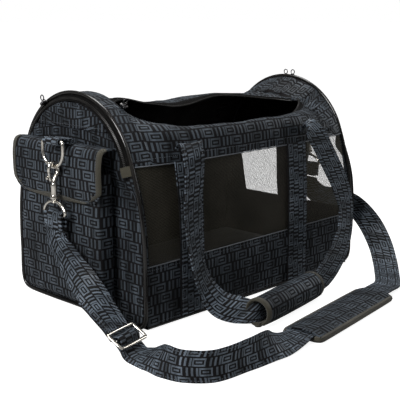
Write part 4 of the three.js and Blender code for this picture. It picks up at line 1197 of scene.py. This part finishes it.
# %% Pocket
POCKET = {"half": 86 * MM, "depth": 22 * MM, "low": 20 * MM, "high": 204 * MM}
pocket_back = -HALF - 9.8 * MM
corner = [(0.62 + 0.38 * math.sin(a), 0.94 + 0.06 * math.cos(a))
          for a in np.linspace(1.4, 0, 5)] + [(0, 1.0)]
profile = np.array([(a, -b) for a, b in reversed(corner)] +
                   [(1, y) for y in np.linspace(-0.86, 0.86, 30)] + corner)
pz = np.concatenate([np.linspace(POCKET["low"], POCKET["low"] + 10 * MM, 6),
                     np.linspace(POCKET["low"] + 14 * MM, POCKET["high"], 34)])
pocket_grid = np.zeros((len(profile), len(pz), 3))
for j, z in enumerate(pz):
    rise = min((z - POCKET["low"]) / (10 * MM), 1)
    open_depth = math.sqrt(max(1 - (1 - rise) ** 2, 0)) * 0.9 + 0.1
    belly = 0.86 + 0.14 * math.sin(math.pi * (z - POCKET["low"]) / (POCKET["high"] - POCKET["low"]))
    pocket_grid[:, j, 0] = pocket_back - POCKET["depth"] * profile[:, 0] * open_depth * belly
    pocket_grid[:, j, 1] = POCKET["half"] * profile[:, 1] * (0.96 + 0.04 * open_depth)
    pocket_grid[:, j, 2] = z
pocket_grid = rumple(pocket_grid, 60 * MM, fade(*pocket_grid.shape[:2], 0.15) * 2.0 * MM, 51)[::-1]
cloth("pocket", pocket_grid, 1.6 * MM, shell_cloth, "shell", lining_cloth, replaces=["pocket_body"])
print("pocket rows", len(pz))

# %% [markdown]
# ## Flap, its binding and the ring tab
# The flap is a grid hung from its sewn line, with its lower corners rounded off. Tape is folded over its cut
# edges, and each ring sits in a loop of webbing: the left one on the flap, the right one on the end.

# %% Flap, its binding and the ring tab
FLAP_HALF = 96 * MM
flap_line = np.array([(-233.4, 0, 235), (-245, 0, 236.2), (-254.5, 0, 233.4), (-258.3, 0, 222),
                      (-259.8, 0, 196), (-258.6, 0, 165)]) * MM
line, _ = even(flap_line, 50)
down = np.linspace(0, 1, 50)
round_off = 24 * MM * (1 - np.sqrt(np.maximum(1 - np.clip((down - 0.72) / 0.28, 0, 1) ** 2, 0)))
flap_grid = np.zeros((60, 50, 3))
across = np.linspace(-1, 1, 60)
flap_grid[..., 0] = line[None, :, 0] + 1.5 * MM * (across[:, None] ** 2) * down[None, :]
flap_grid[..., 1] = across[:, None] * (FLAP_HALF - round_off[None, :])
flap_grid[..., 2] = line[None, :, 2] - 2.5 * MM * (1 - across[:, None] ** 2) * down[None, :] ** 2
flap_grid = rumple(flap_grid, 90 * MM, 2.0 * MM * down[None, :], 61)
cloth("flap", flap_grid, SHELL_THICK, shell_cloth, "pocket_flap", lining_cloth, replaces=["pocket_flap"])
flap_normal = grid_normals(flap_grid)


def flap_rim(grid, step=0):
    """Down one side of a grid, along its foot and up the other side, that many steps in from the edge."""
    return np.concatenate([grid[step, 8:-6], grid[4:-4, -1 - step], grid[-1 - step, 8:-6][::-1]])[::3]


edge = flap_rim(flap_grid)
smooth_edge, share = even(edge, 110)
knots = np.linspace(0, 1, len(edge))
smooth_in = unit(read_rows(share, knots, unit(flap_rim(flap_grid, 3) - edge)))
smooth_up = unit(read_rows(share, knots, flap_rim(flap_normal)))
binding("flap_binding", smooth_edge, smooth_in, smooth_up, "pocket_flap", 7.5 * MM, 1.8 * MM)
tab_lines = {"pocket_flap": [(smooth_edge + smooth_in * 6.3 * MM + smooth_up * 2.6 * MM, smooth_up)],
             "shell": []}


def ring_tab(where, sign, body):
    """Webbing folded round the ring's bar, with both ends sewn down behind it."""
    bar = np.array([sign * RING_X, 242 * MM])
    tail = sign * (HALF + 26 * MM)
    turn = [bar + 4.2 * MM * np.array([sign * math.cos(a), math.sin(a)])
            for a in np.linspace(math.pi / 2, -math.pi / 2, 9)]
    path = np.array([(tail, 243.8 * MM), (sign * (RING_X - 10 * MM), 244.4 * MM), *turn,
                     (sign * (RING_X - 9 * MM), 239.8 * MM), (tail, 239.8 * MM)])
    centre, _ = even(np.c_[path[:, 0], np.zeros(len(path)), path[:, 1]], 40)
    y = RING_Y + np.linspace(-15.6, 15.6, 6) * MM
    grid = np.stack([np.c_[centre[:, 0], np.full(len(centre), v), centre[:, 2]] for v in y], axis=1)
    grid = grid if sign > 0 else grid[:, ::-1]
    cloth(where + "_tab", grid, 1.7 * MM, strap_cloth, body, replaces=[where + "_ring_tab"])
    tab_lines[body] += [seam(grid, 1.0 * MM, column=0.12), seam(grid, 1.0 * MM, column=0.88),
                        seam(grid, 1.0 * MM, row=0.12)]


ring_tab("left", -1, "pocket_flap")
ring_tab("right", 1, "shell")
for body_name, lines in tab_lines.items():
    stitching(f"{body_name}_tab_stitches", lines, body_name)
print("flap drop", round(float(line[0, 2] - line[-1, 2]), 3))

# %% [markdown]
# ## Rings, snap hooks and swivel eyes
# The hardware is bent and cast metal. The ring is a D of round wire. The hook has a hooked nose, a sprung
# gate with a thumb stud, and a waisted round body; an eye that carries the strap turns in its end.

# %% Strap hardware
def turned(name, profile, place, body, replaces=(), steps=24):
    """A turned piece: profile is a list of (radius, height) pairs in millimetres, from axis to axis."""
    angles = np.linspace(0, 2 * math.pi, steps, endpoint=False)
    rings = [[(r * math.cos(a), r * math.sin(a), h) for a in angles] for r, h in profile]
    points = [(0, 0, profile[0][1])] + [p for ring in rings for p in ring] + [(0, 0, profile[-1][1])]
    faces = []
    for j in range(steps):
        k = (j + 1) % steps
        faces.append((0, 1 + k, 1 + j))
        for i in range(len(rings) - 1):
            a, b = 1 + i * steps, 1 + (i + 1) * steps
            faces.append((a + j, a + k, b + k, b + j))
        last = 1 + (len(rings) - 1) * steps
        faces.append((len(points) - 1, last + j, last + k))
    points = place(points)
    flat_pattern = np.zeros((len(points), 2))
    return mesh_object(name, points, outward(points, faces), nickel, body, flat_pattern, crease=35,
                       replaces=replaces)


RING_LEG, RING_HALF, HOOK_RADIUS = 12, 21.8, 7.4
BAR_Z, LOOP_BAR_Z = 242, 145
eye_z = BAR_Z - RING_LEG - RING_HALF + 2.25 + 0.4 + 2.5 - HOOK_RADIUS
for where, sign in (("left", -1), ("right", 1)):
    origin = np.array([sign * RING_X, RING_Y, 0])

    def place(points, origin=origin, sign=sign):
        return origin + np.asarray(points, float) * np.array([sign, 1, 1]) * MM

    dee = np.concatenate([arc((18.4, BAR_Z - 3.4), 3.4, 90, 0, 6),
                          arc((0, BAR_Z - RING_LEG), RING_HALF, 0, -180, 26),
                          arc((-18.4, BAR_Z - 3.4), 3.4, 180, 90, 6),
                          np.c_[np.linspace(-16, 16, 8), np.full(8, BAR_Z)]])
    points, _ = even(place(np.c_[np.zeros(len(dee)), dee]), 120, closed=True)
    sweep(where + "_dee", points, 2.3 * MM, nickel, where + "_ring", closed=True,
          replaces=[where + "_d_ring"])

    nose = [(HOOK_RADIUS, 0, eye_z - 4)] + [(a, 0, b) for a, b in arc((0, eye_z), HOOK_RADIUS, 0, 180, 9)]
    nose += [(-HOOK_RADIUS + 1, 0, eye_z - 6), (-2.5, 0, eye_z - 12), (0, 0, eye_z - 18), (0, 0, eye_z - 24)]
    points, share = even(place(nose), 60)
    thick = mix(2.1 * MM, 3.0 * MM, smooth(share, 0.0, 0.35)) + 0.8 * MM * smooth(share, 0.7, 1)
    sweep(where + "_hook_nose", points, thick, nickel, where + "_hook")
    barrel = [(1.2, -40), (4.9, -40), (5.5, -39.2), (5.5, -35.4), (4.9, -34.4), (4.2, -33.8), (4.0, -29),
              (4.4, -22), (4.0, -19.6), (3.0, -18), (1.2, -17.4)]
    turned(where + "_hook_barrel", [(r, h + eye_z) for r, h in barrel], place, where + "_hook",
           replaces=[where + "_hook"])

    gate = [(HOOK_RADIUS, 0, eye_z - 4.7), (HOOK_RADIUS - 0.5, 0, eye_z - 10),
            (HOOK_RADIUS - 2.2, 0, eye_z - 15.5)]
    points, _ = even(place(gate), 16)
    sweep(where + "_gate_bar", points, 1.75 * MM, nickel, where + "_gate", sides=12,
          replaces=[where + "_hook_gate"])
    stud = local_frame(place((HOOK_RADIUS + 0.6, 0, eye_z - 11)), (0, 1, 0), (sign, 0, 0))
    button = [(0.4, 0), (1.6, 0), (1.6, 2.0), (2.4, 2.3), (2.4, 3.1), (1.6, 3.5), (0.4, 3.6)]
    turned(where + "_gate_stud", button, stud, where + "_gate", steps=16)

    top = eye_z - 40.4
    bow = [(0, y, LOOP_BAR_Z) for y in (-18, -8, 8, 18)]
    bow += [(0, 23 * math.cos(t), LOOP_BAR_Z + (top - 3 - LOOP_BAR_Z) * math.sin(t))
            for t in np.radians((12, 35, 60, 90, 120, 145, 168))]
    points, _ = even(place(bow), 90, closed=True)
    sweep(where + "_eye", points, 2.2 * MM, nickel, where + "_swivel", closed=True, sides=12,
          replaces=[where + "_swivel"])
    stem = [(0.5, -5.4), (3.4, -5.4), (4.2, -4.4), (4.2, -3.4), (3.2, -2.4), (3.2, -0.4), (0.5, -0.1)]
    turned(where + "_stem", [(r, h + top) for r, h in stem], place, where + "_swivel", steps=20)

    around = [(-3.2, 126), (-3.6, 137), *arc((0, LOOP_BAR_Z), 4.3, 190, -10, 11), (3.6, 137), (3.2, 126)]
    centre, _ = even(place([(a, 0, b) for a, b in around]), 44)
    width = np.linspace(-18.6, 18.6, 7) * MM
    grid = np.stack([centre + np.array([0, w, 0]) for w in width], axis=1)
    grid = grid if sign > 0 else grid[:, ::-1]
    cloth(where + "_strap_fold", grid, WEBBING_THICK, strap_cloth, where + "_swivel",
          replaces=["strap_end_" + where])
    fold_lines = [seam(grid, ON_WEBBING, row=r) for r in (0.08, 0.22, 0.78, 0.92)]
    stitching(where + "_fold_stitches", fold_lines, where + "_swivel", pitch=2.8 * MM, length=2.0 * MM)
print("hook eye at", round(eye_z, 2), "mm")

# %% [markdown]
# ## Strap: the doubled drop, its adjuster and its hems
# Between the hook and the adjuster the strap runs double. A second layer lies just under the first. The
# adjuster is a bent wire frame; the strap wraps over its middle bar, which shows as a dark roll inside it.

# %% Doubled drop and adjuster
drop_stations = [(tuple(np.array(p) + np.array([-0.8, 1.2, -3.4]) * MM), w) for p, w in STRAP_ROUTE[:7]]
drop_grid, _ = ribbon(drop_stations, STRAP_WIDTH, 90, 5)
drop_grid = drop_grid[49:-8]
under_strap = cloth("strap_under_layer", drop_grid, 1.6 * MM, strap_cloth, "shell")
hem_lines = [seam(strap_grid, 1.15 * MM, column=0.07), seam(strap_grid, 1.15 * MM, column=0.93)]
strap_hem = stitching("strap_hems", hem_lines, "shell", pitch=4 * MM, length=3 * MM)

drop_from, drop_to = np.array(STRAP_ROUTE[5][0]), np.array(STRAP_ROUTE[6][0])
down_strap = unit(drop_to - drop_from)
across_strap = unit(np.array([0.97, 0.22, 0]))
off_strap = unit(np.cross(down_strap, across_strap))
buckle_at = mix(drop_from, drop_to, 0.62) + off_strap * 5.4 * MM
buckle = local_frame(buckle_at, across_strap, off_strap)
loop = rounded(21.5, 9.5, 3.2, 6)
points, _ = even(buckle(np.c_[loop, np.zeros(len(loop))]), 120, closed=True)
adjuster_frame = sweep("adjuster_frame", points, 2.2 * MM, nickel, "adjuster", closed=True, flat=0.75,
                       axis=off_strap, replaces=["strap_slider"])
points = buckle(np.array([(a, 0, -0.6) for a in np.linspace(-23.5, 23.5, 12)]))
adjuster_bar = sweep("adjuster_bar", points, 1.6 * MM, nickel, "adjuster", sides=12)
roll, _ = even([(0, 8.6, -4.0), (0, 5.5, 0.2), (0, 2.6, 2.6), (0, -1.5, 2.9), (0, -5.0, 0.6),
                (0, -8.4, -4.0)], 26)
roll_grid = np.stack([buckle(roll + np.array([w, 0, 0])) for w in np.linspace(-18, 18, 8)], axis=1)
if np.dot(grid_normals(roll_grid)[13, 4], off_strap) < 0:
    roll_grid = roll_grid[:, ::-1]
strap_roll = cloth("adjuster_roll", roll_grid, WEBBING_THICK, strap_cloth, "adjuster")
print("adjuster at", np.round(buckle_at, 3))

# %% [markdown]
# ## Shoulder pad
# The pad is a cushion under the strap with a sleeve of jacquard over it, open at both ends, and olive tape
# round its edge. Cloth pressure swells a slightly smaller blank, as foam and stuffing do, and then the
# cutting pattern is laid over it from above.

# %% Cloth pressure
def swell(blank, pressure, voxel, cap, frames=20):
    """Swells a closed mesh by cloth pressure, no further than cap, and gives back its points and faces."""
    scene = bpy.context.scene
    remesh = blank.modifiers.new("remesh", "REMESH")
    remesh.mode = "VOXEL"
    remesh.voxel_size = voxel
    graph = bpy.context.evaluated_depsgraph_get()
    mesh = bpy.data.meshes.new_from_object(blank.evaluated_get(graph))
    copy = bpy.data.objects.new("swelling", mesh)
    scene.collection.objects.link(copy)
    start = np.array([v.co for v in mesh.vertices])
    bpy.data.objects.remove(blank)
    cloth_modifier = copy.modifiers.new("cloth", "CLOTH")
    cloth_modifier.settings.use_pressure = True
    cloth_modifier.settings.uniform_pressure_force = pressure
    cloth_modifier.settings.effector_weights.gravity = 0
    cloth_modifier.settings.quality = 5
    for number in range(1, frames + 1):
        scene.frame_set(number)
    graph = bpy.context.evaluated_depsgraph_get()
    swollen = bpy.data.meshes.new_from_object(copy.evaluated_get(graph))
    end = np.array([v.co for v in swollen.vertices])
    scene.frame_set(1)
    move = end - start
    far = np.linalg.norm(move, axis=1, keepdims=True)
    points = start + move * np.minimum(1, cap / np.maximum(far, 1e-9))
    faces = [tuple(p.vertices) for p in mesh.polygons]
    bpy.data.objects.remove(copy)
    return points, faces


def block(name, place, length, width, z0, z1, corner):
    """A blank for a cushion: a slab with rounded corners, in its own millimetres."""
    outline_points = rounded(length / 2 - corner, width / 2 - corner, corner, 6)
    count = len(outline_points)
    points = place(np.concatenate([np.c_[outline_points, np.full(count, z)] for z in (z0, z1)]))
    faces = [tuple(range(count))[::-1], tuple(range(count, 2 * count))]
    faces += [(j, (j + 1) % count, (j + 1) % count + count, j + count) for j in range(count)]
    mesh = bpy.data.meshes.new(name)
    mesh.from_pydata([tuple(p) for p in points], [], faces)
    made = bpy.data.objects.new(name, mesh)
    bpy.context.scene.collection.objects.link(made)
    return made


PAD = {"length": 214, "width": 60, "corner": 9, "turn": math.radians(7.5), "middle": np.array([3, -281.6])}
pad_along = (math.cos(PAD["turn"]), math.sin(PAD["turn"]), 0)
pad_place = local_frame(np.append(PAD["middle"] * MM, 0), pad_along, (0, 0, 1))
blank = block("pad_blank", pad_place, PAD["length"] - 6, PAD["width"] - 6, 1.4, 5.2, PAD["corner"])
points, faces = swell(blank, 3.0, 3.0 * MM, 1.4 * MM)
points[:, 2] = np.clip(points[:, 2], 0.25 * MM, 6.6 * MM)
flat_pattern = points[:, :2] - PAD["middle"] * MM
pad = mesh_object("pad_cushion", points, faces, binding_tape, "shoulder_pad", flat_pattern, crease=70)
subdivide = pad.modifiers.new("finer", "SUBSURF")
subdivide.levels = subdivide.render_levels = 1
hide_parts("shoulder_pad")
print("pad points", len(points))

# %% [markdown]
# ## The pad's sleeve and its binding
# The sleeve crowns over the strap and is open at both ends. The binding runs round the pad's rim.

# %% Pad sleeve and binding
s, t = np.meshgrid(np.linspace(-1, 1, 70), np.linspace(-1, 1, 22), indexing="ij")
sleeve_height = 6.4 + 6.2 * (1 - np.abs(t) ** 2.4) * (0.82 + 0.18 * np.abs(s) ** 3)
sleeve = np.stack([s * (PAD["length"] / 2 - 5), t * (PAD["width"] / 2 - 2.5), sleeve_height], axis=-1)
sleeve = pad_place(sleeve.reshape(-1, 3)).reshape(sleeve.shape)
sleeve = rumple(sleeve, 35 * MM, fade(70, 22, 0.2) * 1.2 * MM, 71)
sleeve_piece = cloth("pad_sleeve", sleeve, 1.5 * MM, shell_cloth, "shoulder_pad", replaces=["pad_cover"])
half_l, half_w = PAD["length"] / 2 - 1, PAD["width"] / 2 - 1
rim = rounded(half_l - PAD["corner"], half_w - PAD["corner"], PAD["corner"], 8)
rim_points, share = even(np.c_[rim, np.full(len(rim), 4.4)], 150, closed=True)
ahead = np.roll(rim_points, -1, 0) - np.roll(rim_points, 1, 0)
inward = unit(np.cross(np.array([0, 0, 1.0]), ahead))
edge_w = pad_place(np.vstack([rim_points, rim_points[:1]]))
in_w = (pad_place(np.vstack([inward, inward[:1]])) - pad_place([0, 0, 0])) / MM
up_w = np.tile([0, 0, 1.0], (len(edge_w), 1))
pad_rim = binding("pad_binding", edge_w, in_w, up_w, "shoulder_pad", 6 * MM, 3.1 * MM)
long_sides = [np.abs(rim_points[:, 1] - sign * half_w) < 0.5 for sign in (-1, 1)]
stitch_line = (edge_w + in_w * 7.4 * MM + up_w * 4.6 * MM)[:-1]
pad_lines = [(stitch_line[side], up_w[:-1][side]) for side in long_sides]
pad_stitch = stitching("pad_stitches", pad_lines, "shoulder_pad")
print("sleeve", sleeve.shape)

# %% [markdown]
# ## Carry handles
# Each handle is one length of webbing sewn into the top band. Its legs hang down the wall and run into a
# padded wrap that holds them together.

# %% Carry handles
LEG_LEFT = [((-150, -139.6, 236), (1, 0, 0)), ((-153, -149, 240), (1, 0, 0)), ((-156, -158, 228), (1, 0, 0)),
            ((-156, -160, 200), (1, 0.1, 0)), ((-159, -160, 150), (1, 0.2, 0)),
            ((-157, -164, 100), (0.95, 0.35, 0.1)),
            ((-147, -168, 58), (0.8, 0.3, 0.3)), ((-133, -184, 28), (0.6, 0.1, 0.7)),
            ((-115, -205, 20), (0.4, -0.1, 0.9)), ((-103, -222, 20), (0.2, 0, 1)),
            ((-80, -222, 20), (0.1, 0, 1))]
LEG_RIGHT = [((84, -142, 236), (1, 0, 0)), ((92, -149, 240), (1, 0, 0.1)),
             ((104, -158, 224), (0.85, 0, 0.4)),
             ((127, -162, 190), (0.8, 0, 0.55)), ((152, -165, 152), (0.85, 0, 0.4)),
             ((166, -168, 118), (1, 0, 0)),
             ((162, -174, 88), (0.9, 0, -0.3)), ((138, -184, 58), (0.8, -0.1, -0.6)),
             ((98, -195, 35), (0.6, -0.2, -0.8)), ((60, -203, 22), (0.2, -0.1, -0.95)),
             ((20, -209, 20), (0, 0, -1))]
GRIP = {"from": (-108, -227.5, 20.5), "to": (40, -205.5, 20.5), "radius": 17.6}
LEG_STEPS, LEG_TOP, LEG_FREE = 140, 240.5 * MM, 200 * MM
for name, side in (("front", 1), ("back", -1)):
    flip = np.array([1, side, 1])
    legs = []
    for where, stations in (("left", LEG_LEFT), ("right", LEG_RIGHT)):
        mirrored = [(tuple(np.array(p) * flip), tuple(np.array(w) * flip)) for p, w in stations]
        leg_width = np.interp(np.linspace(0, 1, LEG_STEPS + 1), [0, 0.84, 1], [37, 37, 24]) * MM
        grid, middle = ribbon(route(mirrored), leg_width, LEG_STEPS, 6)
        grid = rumple(grid, 60 * MM, 1.0 * MM, 81)
        leg = cloth(f"{name}_leg_{where}", grid, 2.0 * MM, strap_cloth, None, pattern=pattern_of(grid))
        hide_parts(f"{name}_handle_{where}")
        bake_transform(leg)
        legs.append((where, grid))
    for where, grid in legs:
        hems = [seam(grid, lift, column=c) for lift in (1.2 * MM, -1.2 * MM) for c in (0.09, 0.91)]
        hem = stitching(f"{name}_leg_{where}_stitches", hems, None, pitch=4 * MM, length=2.8 * MM)
        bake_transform(hem)
    axis_from, axis_to = (np.array(GRIP[k]) * flip * MM for k in ("from", "to"))
    along = unit(axis_to - axis_from)
    up = np.array([0, 0, 1.0])
    away = np.cross(along, up) * (1 if side > 0 else -1)
    turn = np.radians(np.linspace(-62, 280, 60))
    share = np.linspace(0, 1, 40)
    pinch = 1 + 0.03 * np.sin(share * math.pi) - 0.05 * (np.abs(share - 0.5) * 2) ** 6
    pinch = GRIP["radius"] * MM * pinch
    spiral = 1 + 0.07 * smooth(np.arange(60.0), 45, 59)
    around = away * np.cos(turn)[:, None] + up * np.sin(turn)[:, None]
    grid = np.stack([mix(axis_from, axis_to, s) + around * (p * spiral)[:, None]
                     for s, p in zip(share, pinch)])
    grid = rumple(grid, 30 * MM, fade(40, 60, 0.15) * 1.0 * MM, 91)
    if np.dot(grid_normals(grid)[20, 30], grid[20, 30] - (axis_from + axis_to) / 2) < 0:
        grid = grid[:, ::-1]
    wrap_piece = cloth(f"{name}_grip_wrap", grid, 3.2 * MM, shell_cloth, name + "_handle", binding_tape,
                       replaces=[name + "_grip"])
    normal = grid_normals(grid)
    for label, first, inner, turned_grid, faces in (
            ("start", 0, 2, grid, normal), ("end", -1, -3, grid, normal),
            ("low", 0, 2, grid.swapaxes(0, 1), normal.swapaxes(0, 1)),
            ("high", -1, -3, grid.swapaxes(0, 1), normal.swapaxes(0, 1))):
        edge = turned_grid[first]
        binding(f"{name}_grip_binding_{label}", edge, unit(turned_grid[inner] - edge), faces[first],
                name + "_handle", 6.5 * MM, 1.9 * MM)
print("handles 2")

# %% [markdown]
# ## Base and floor mat
# Underneath is one padded panel with soft corners, and a sheet of lining closes the bag's floor. Inside, a
# stiff board lies under a removable fleece mat, which shows through the open top.

# %% Base, board and mat
def slab(name, node, thickness, material, corner, crown):
    """A flat pad in a node's place, with corners pulled in and its middle crowned."""
    low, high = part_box(node)
    size = (np.array(high) - np.array(low))[:2] / 2
    centre = (np.array(high) + np.array(low)) / 2
    a, b = np.meshgrid(np.linspace(-1, 1, 60), np.linspace(-1, 1, 40), indexing="ij")
    x, y = a * np.sqrt(1 - b**2 * corner / 2), b * np.sqrt(1 - a**2 * corner / 2)
    swell_up = crown * (1 - a**8) * (1 - b**8)
    z = centre[2] + swell_up - crown / 2
    grid = np.stack([centre[0] + x * size[0], centre[1] + y * size[1], z], axis=-1)
    grid = rumple(grid, 60 * MM, fade(60, 40) * crown * 0.5, 101)
    return cloth(name, grid, thickness, material, "shell", replaces=[node])


a, b = np.meshgrid(np.linspace(-1, 1, 40), np.linspace(-1, 1, 30), indexing="ij")
tray = np.stack([a * (HALF - 1.5 * MM), b * (HALF_DEPTH - 2.6 * MM), np.full_like(a, 8.15 * MM)], axis=-1)
tray[..., 2] += 1.5 * MM * np.maximum(np.abs(a), np.abs(b)) ** 40
cloth("floor_lining", tray, 0.3 * MM, lining_cloth, "shell")
slab("base_cloth", "bottom_panel", 2.6 * MM, shell_cloth, 0.06, 0.4 * MM)
slab("stiff_board", "base_board", 4.0 * MM, board, 0.04, 0.1 * MM)
mat = slab("fleece_mat", "floor_mat", 8.5 * MM, fleece, 0.06, 4.0 * MM)

# %% [markdown]
# ## Floor and light
# A plain floor and a surround that both look white, but light the cloth only softly, so that its black stays
# deep. One soft light stands to the left, a wide one hangs above and behind, and a narrow one at the right
# draws the highlight along the piping.

# %% Floor and light
def soft_light(name, place, aim, size, power):
    light = bpy.data.lights.new(name, "AREA")
    light.shape = "RECTANGLE"
    light.size, light.size_y = size
    light.energy = power
    made = bpy.data.objects.new(name, light)
    made.location = place
    made.rotation_euler = (Vector(aim) - Vector(place)).to_track_quat("-Z", "Y").to_euler()
    bpy.context.scene.collection.objects.link(made)


FLOOR_HALF = 30
floor_mesh = bpy.data.meshes.new("floor")
floor_mesh.from_pydata([(a * FLOOR_HALF, b * FLOOR_HALF, 0)
                        for a, b in ((-1, -1), (1, -1), (1, 1), (-1, 1))], [],
                       [(0, 1, 2, 3)])
floor = bpy.data.objects.new("floor", floor_mesh)
bpy.context.scene.collection.objects.link(floor)
floor_paint, floor_recipe, floor_shader = start_material("floor_paper")
floor_shader.inputs["Base Color"].default_value = (0.38, 0.38, 0.38, 1)
floor_shader.inputs["Roughness"].default_value = 0.9
floor_shader.inputs["Specular IOR Level"].default_value = 0.1
floor_mesh.materials.append(floor_paint)

world = bpy.data.worlds.new("studio")
bpy.context.scene.world = world
world.use_nodes = True
world.node_tree.nodes.clear()
sky = Recipe(world.node_tree)
seen = sky.node("LightPath").outputs["Is Camera Ray"]
upward = sky.node("SeparateXYZ", {"Vector": sky.node("TexCoord").outputs["Generated"]}).outputs["Z"]
glow = sky.ramp(upward, 0.0, 0.9, 0.09, 0.42)
strength = sky.math("ADD", sky.math("MULTIPLY", seen, sky.math("SUBTRACT", 1.0, glow)), glow)
background = sky.node("Background", {"Color": (1, 1, 1, 1), "Strength": strength})
sky.node("OutputWorld", {"Surface": background.outputs["Background"]})
white = floor_recipe.node("LightPath").outputs["Is Camera Ray"]
floor_recipe.feed(floor_shader.inputs["Emission Strength"], floor_recipe.math("MULTIPLY", white, 0.9))
floor_shader.inputs["Emission Color"].default_value = (1, 1, 1, 1)
soft_light("key", (-1.9, -0.25, 1.35), (0, 0, 0.15), (0.8, 0.8), 48)
soft_light("top", (0.1, 0.5, 1.9), (0, 0, 0.15), (1.4, 0.7), 26)
soft_light("rim", (1.5, -0.6, 0.9), (0, 0, 0.2), (0.25, 1.2), 6)
print("lights 3")
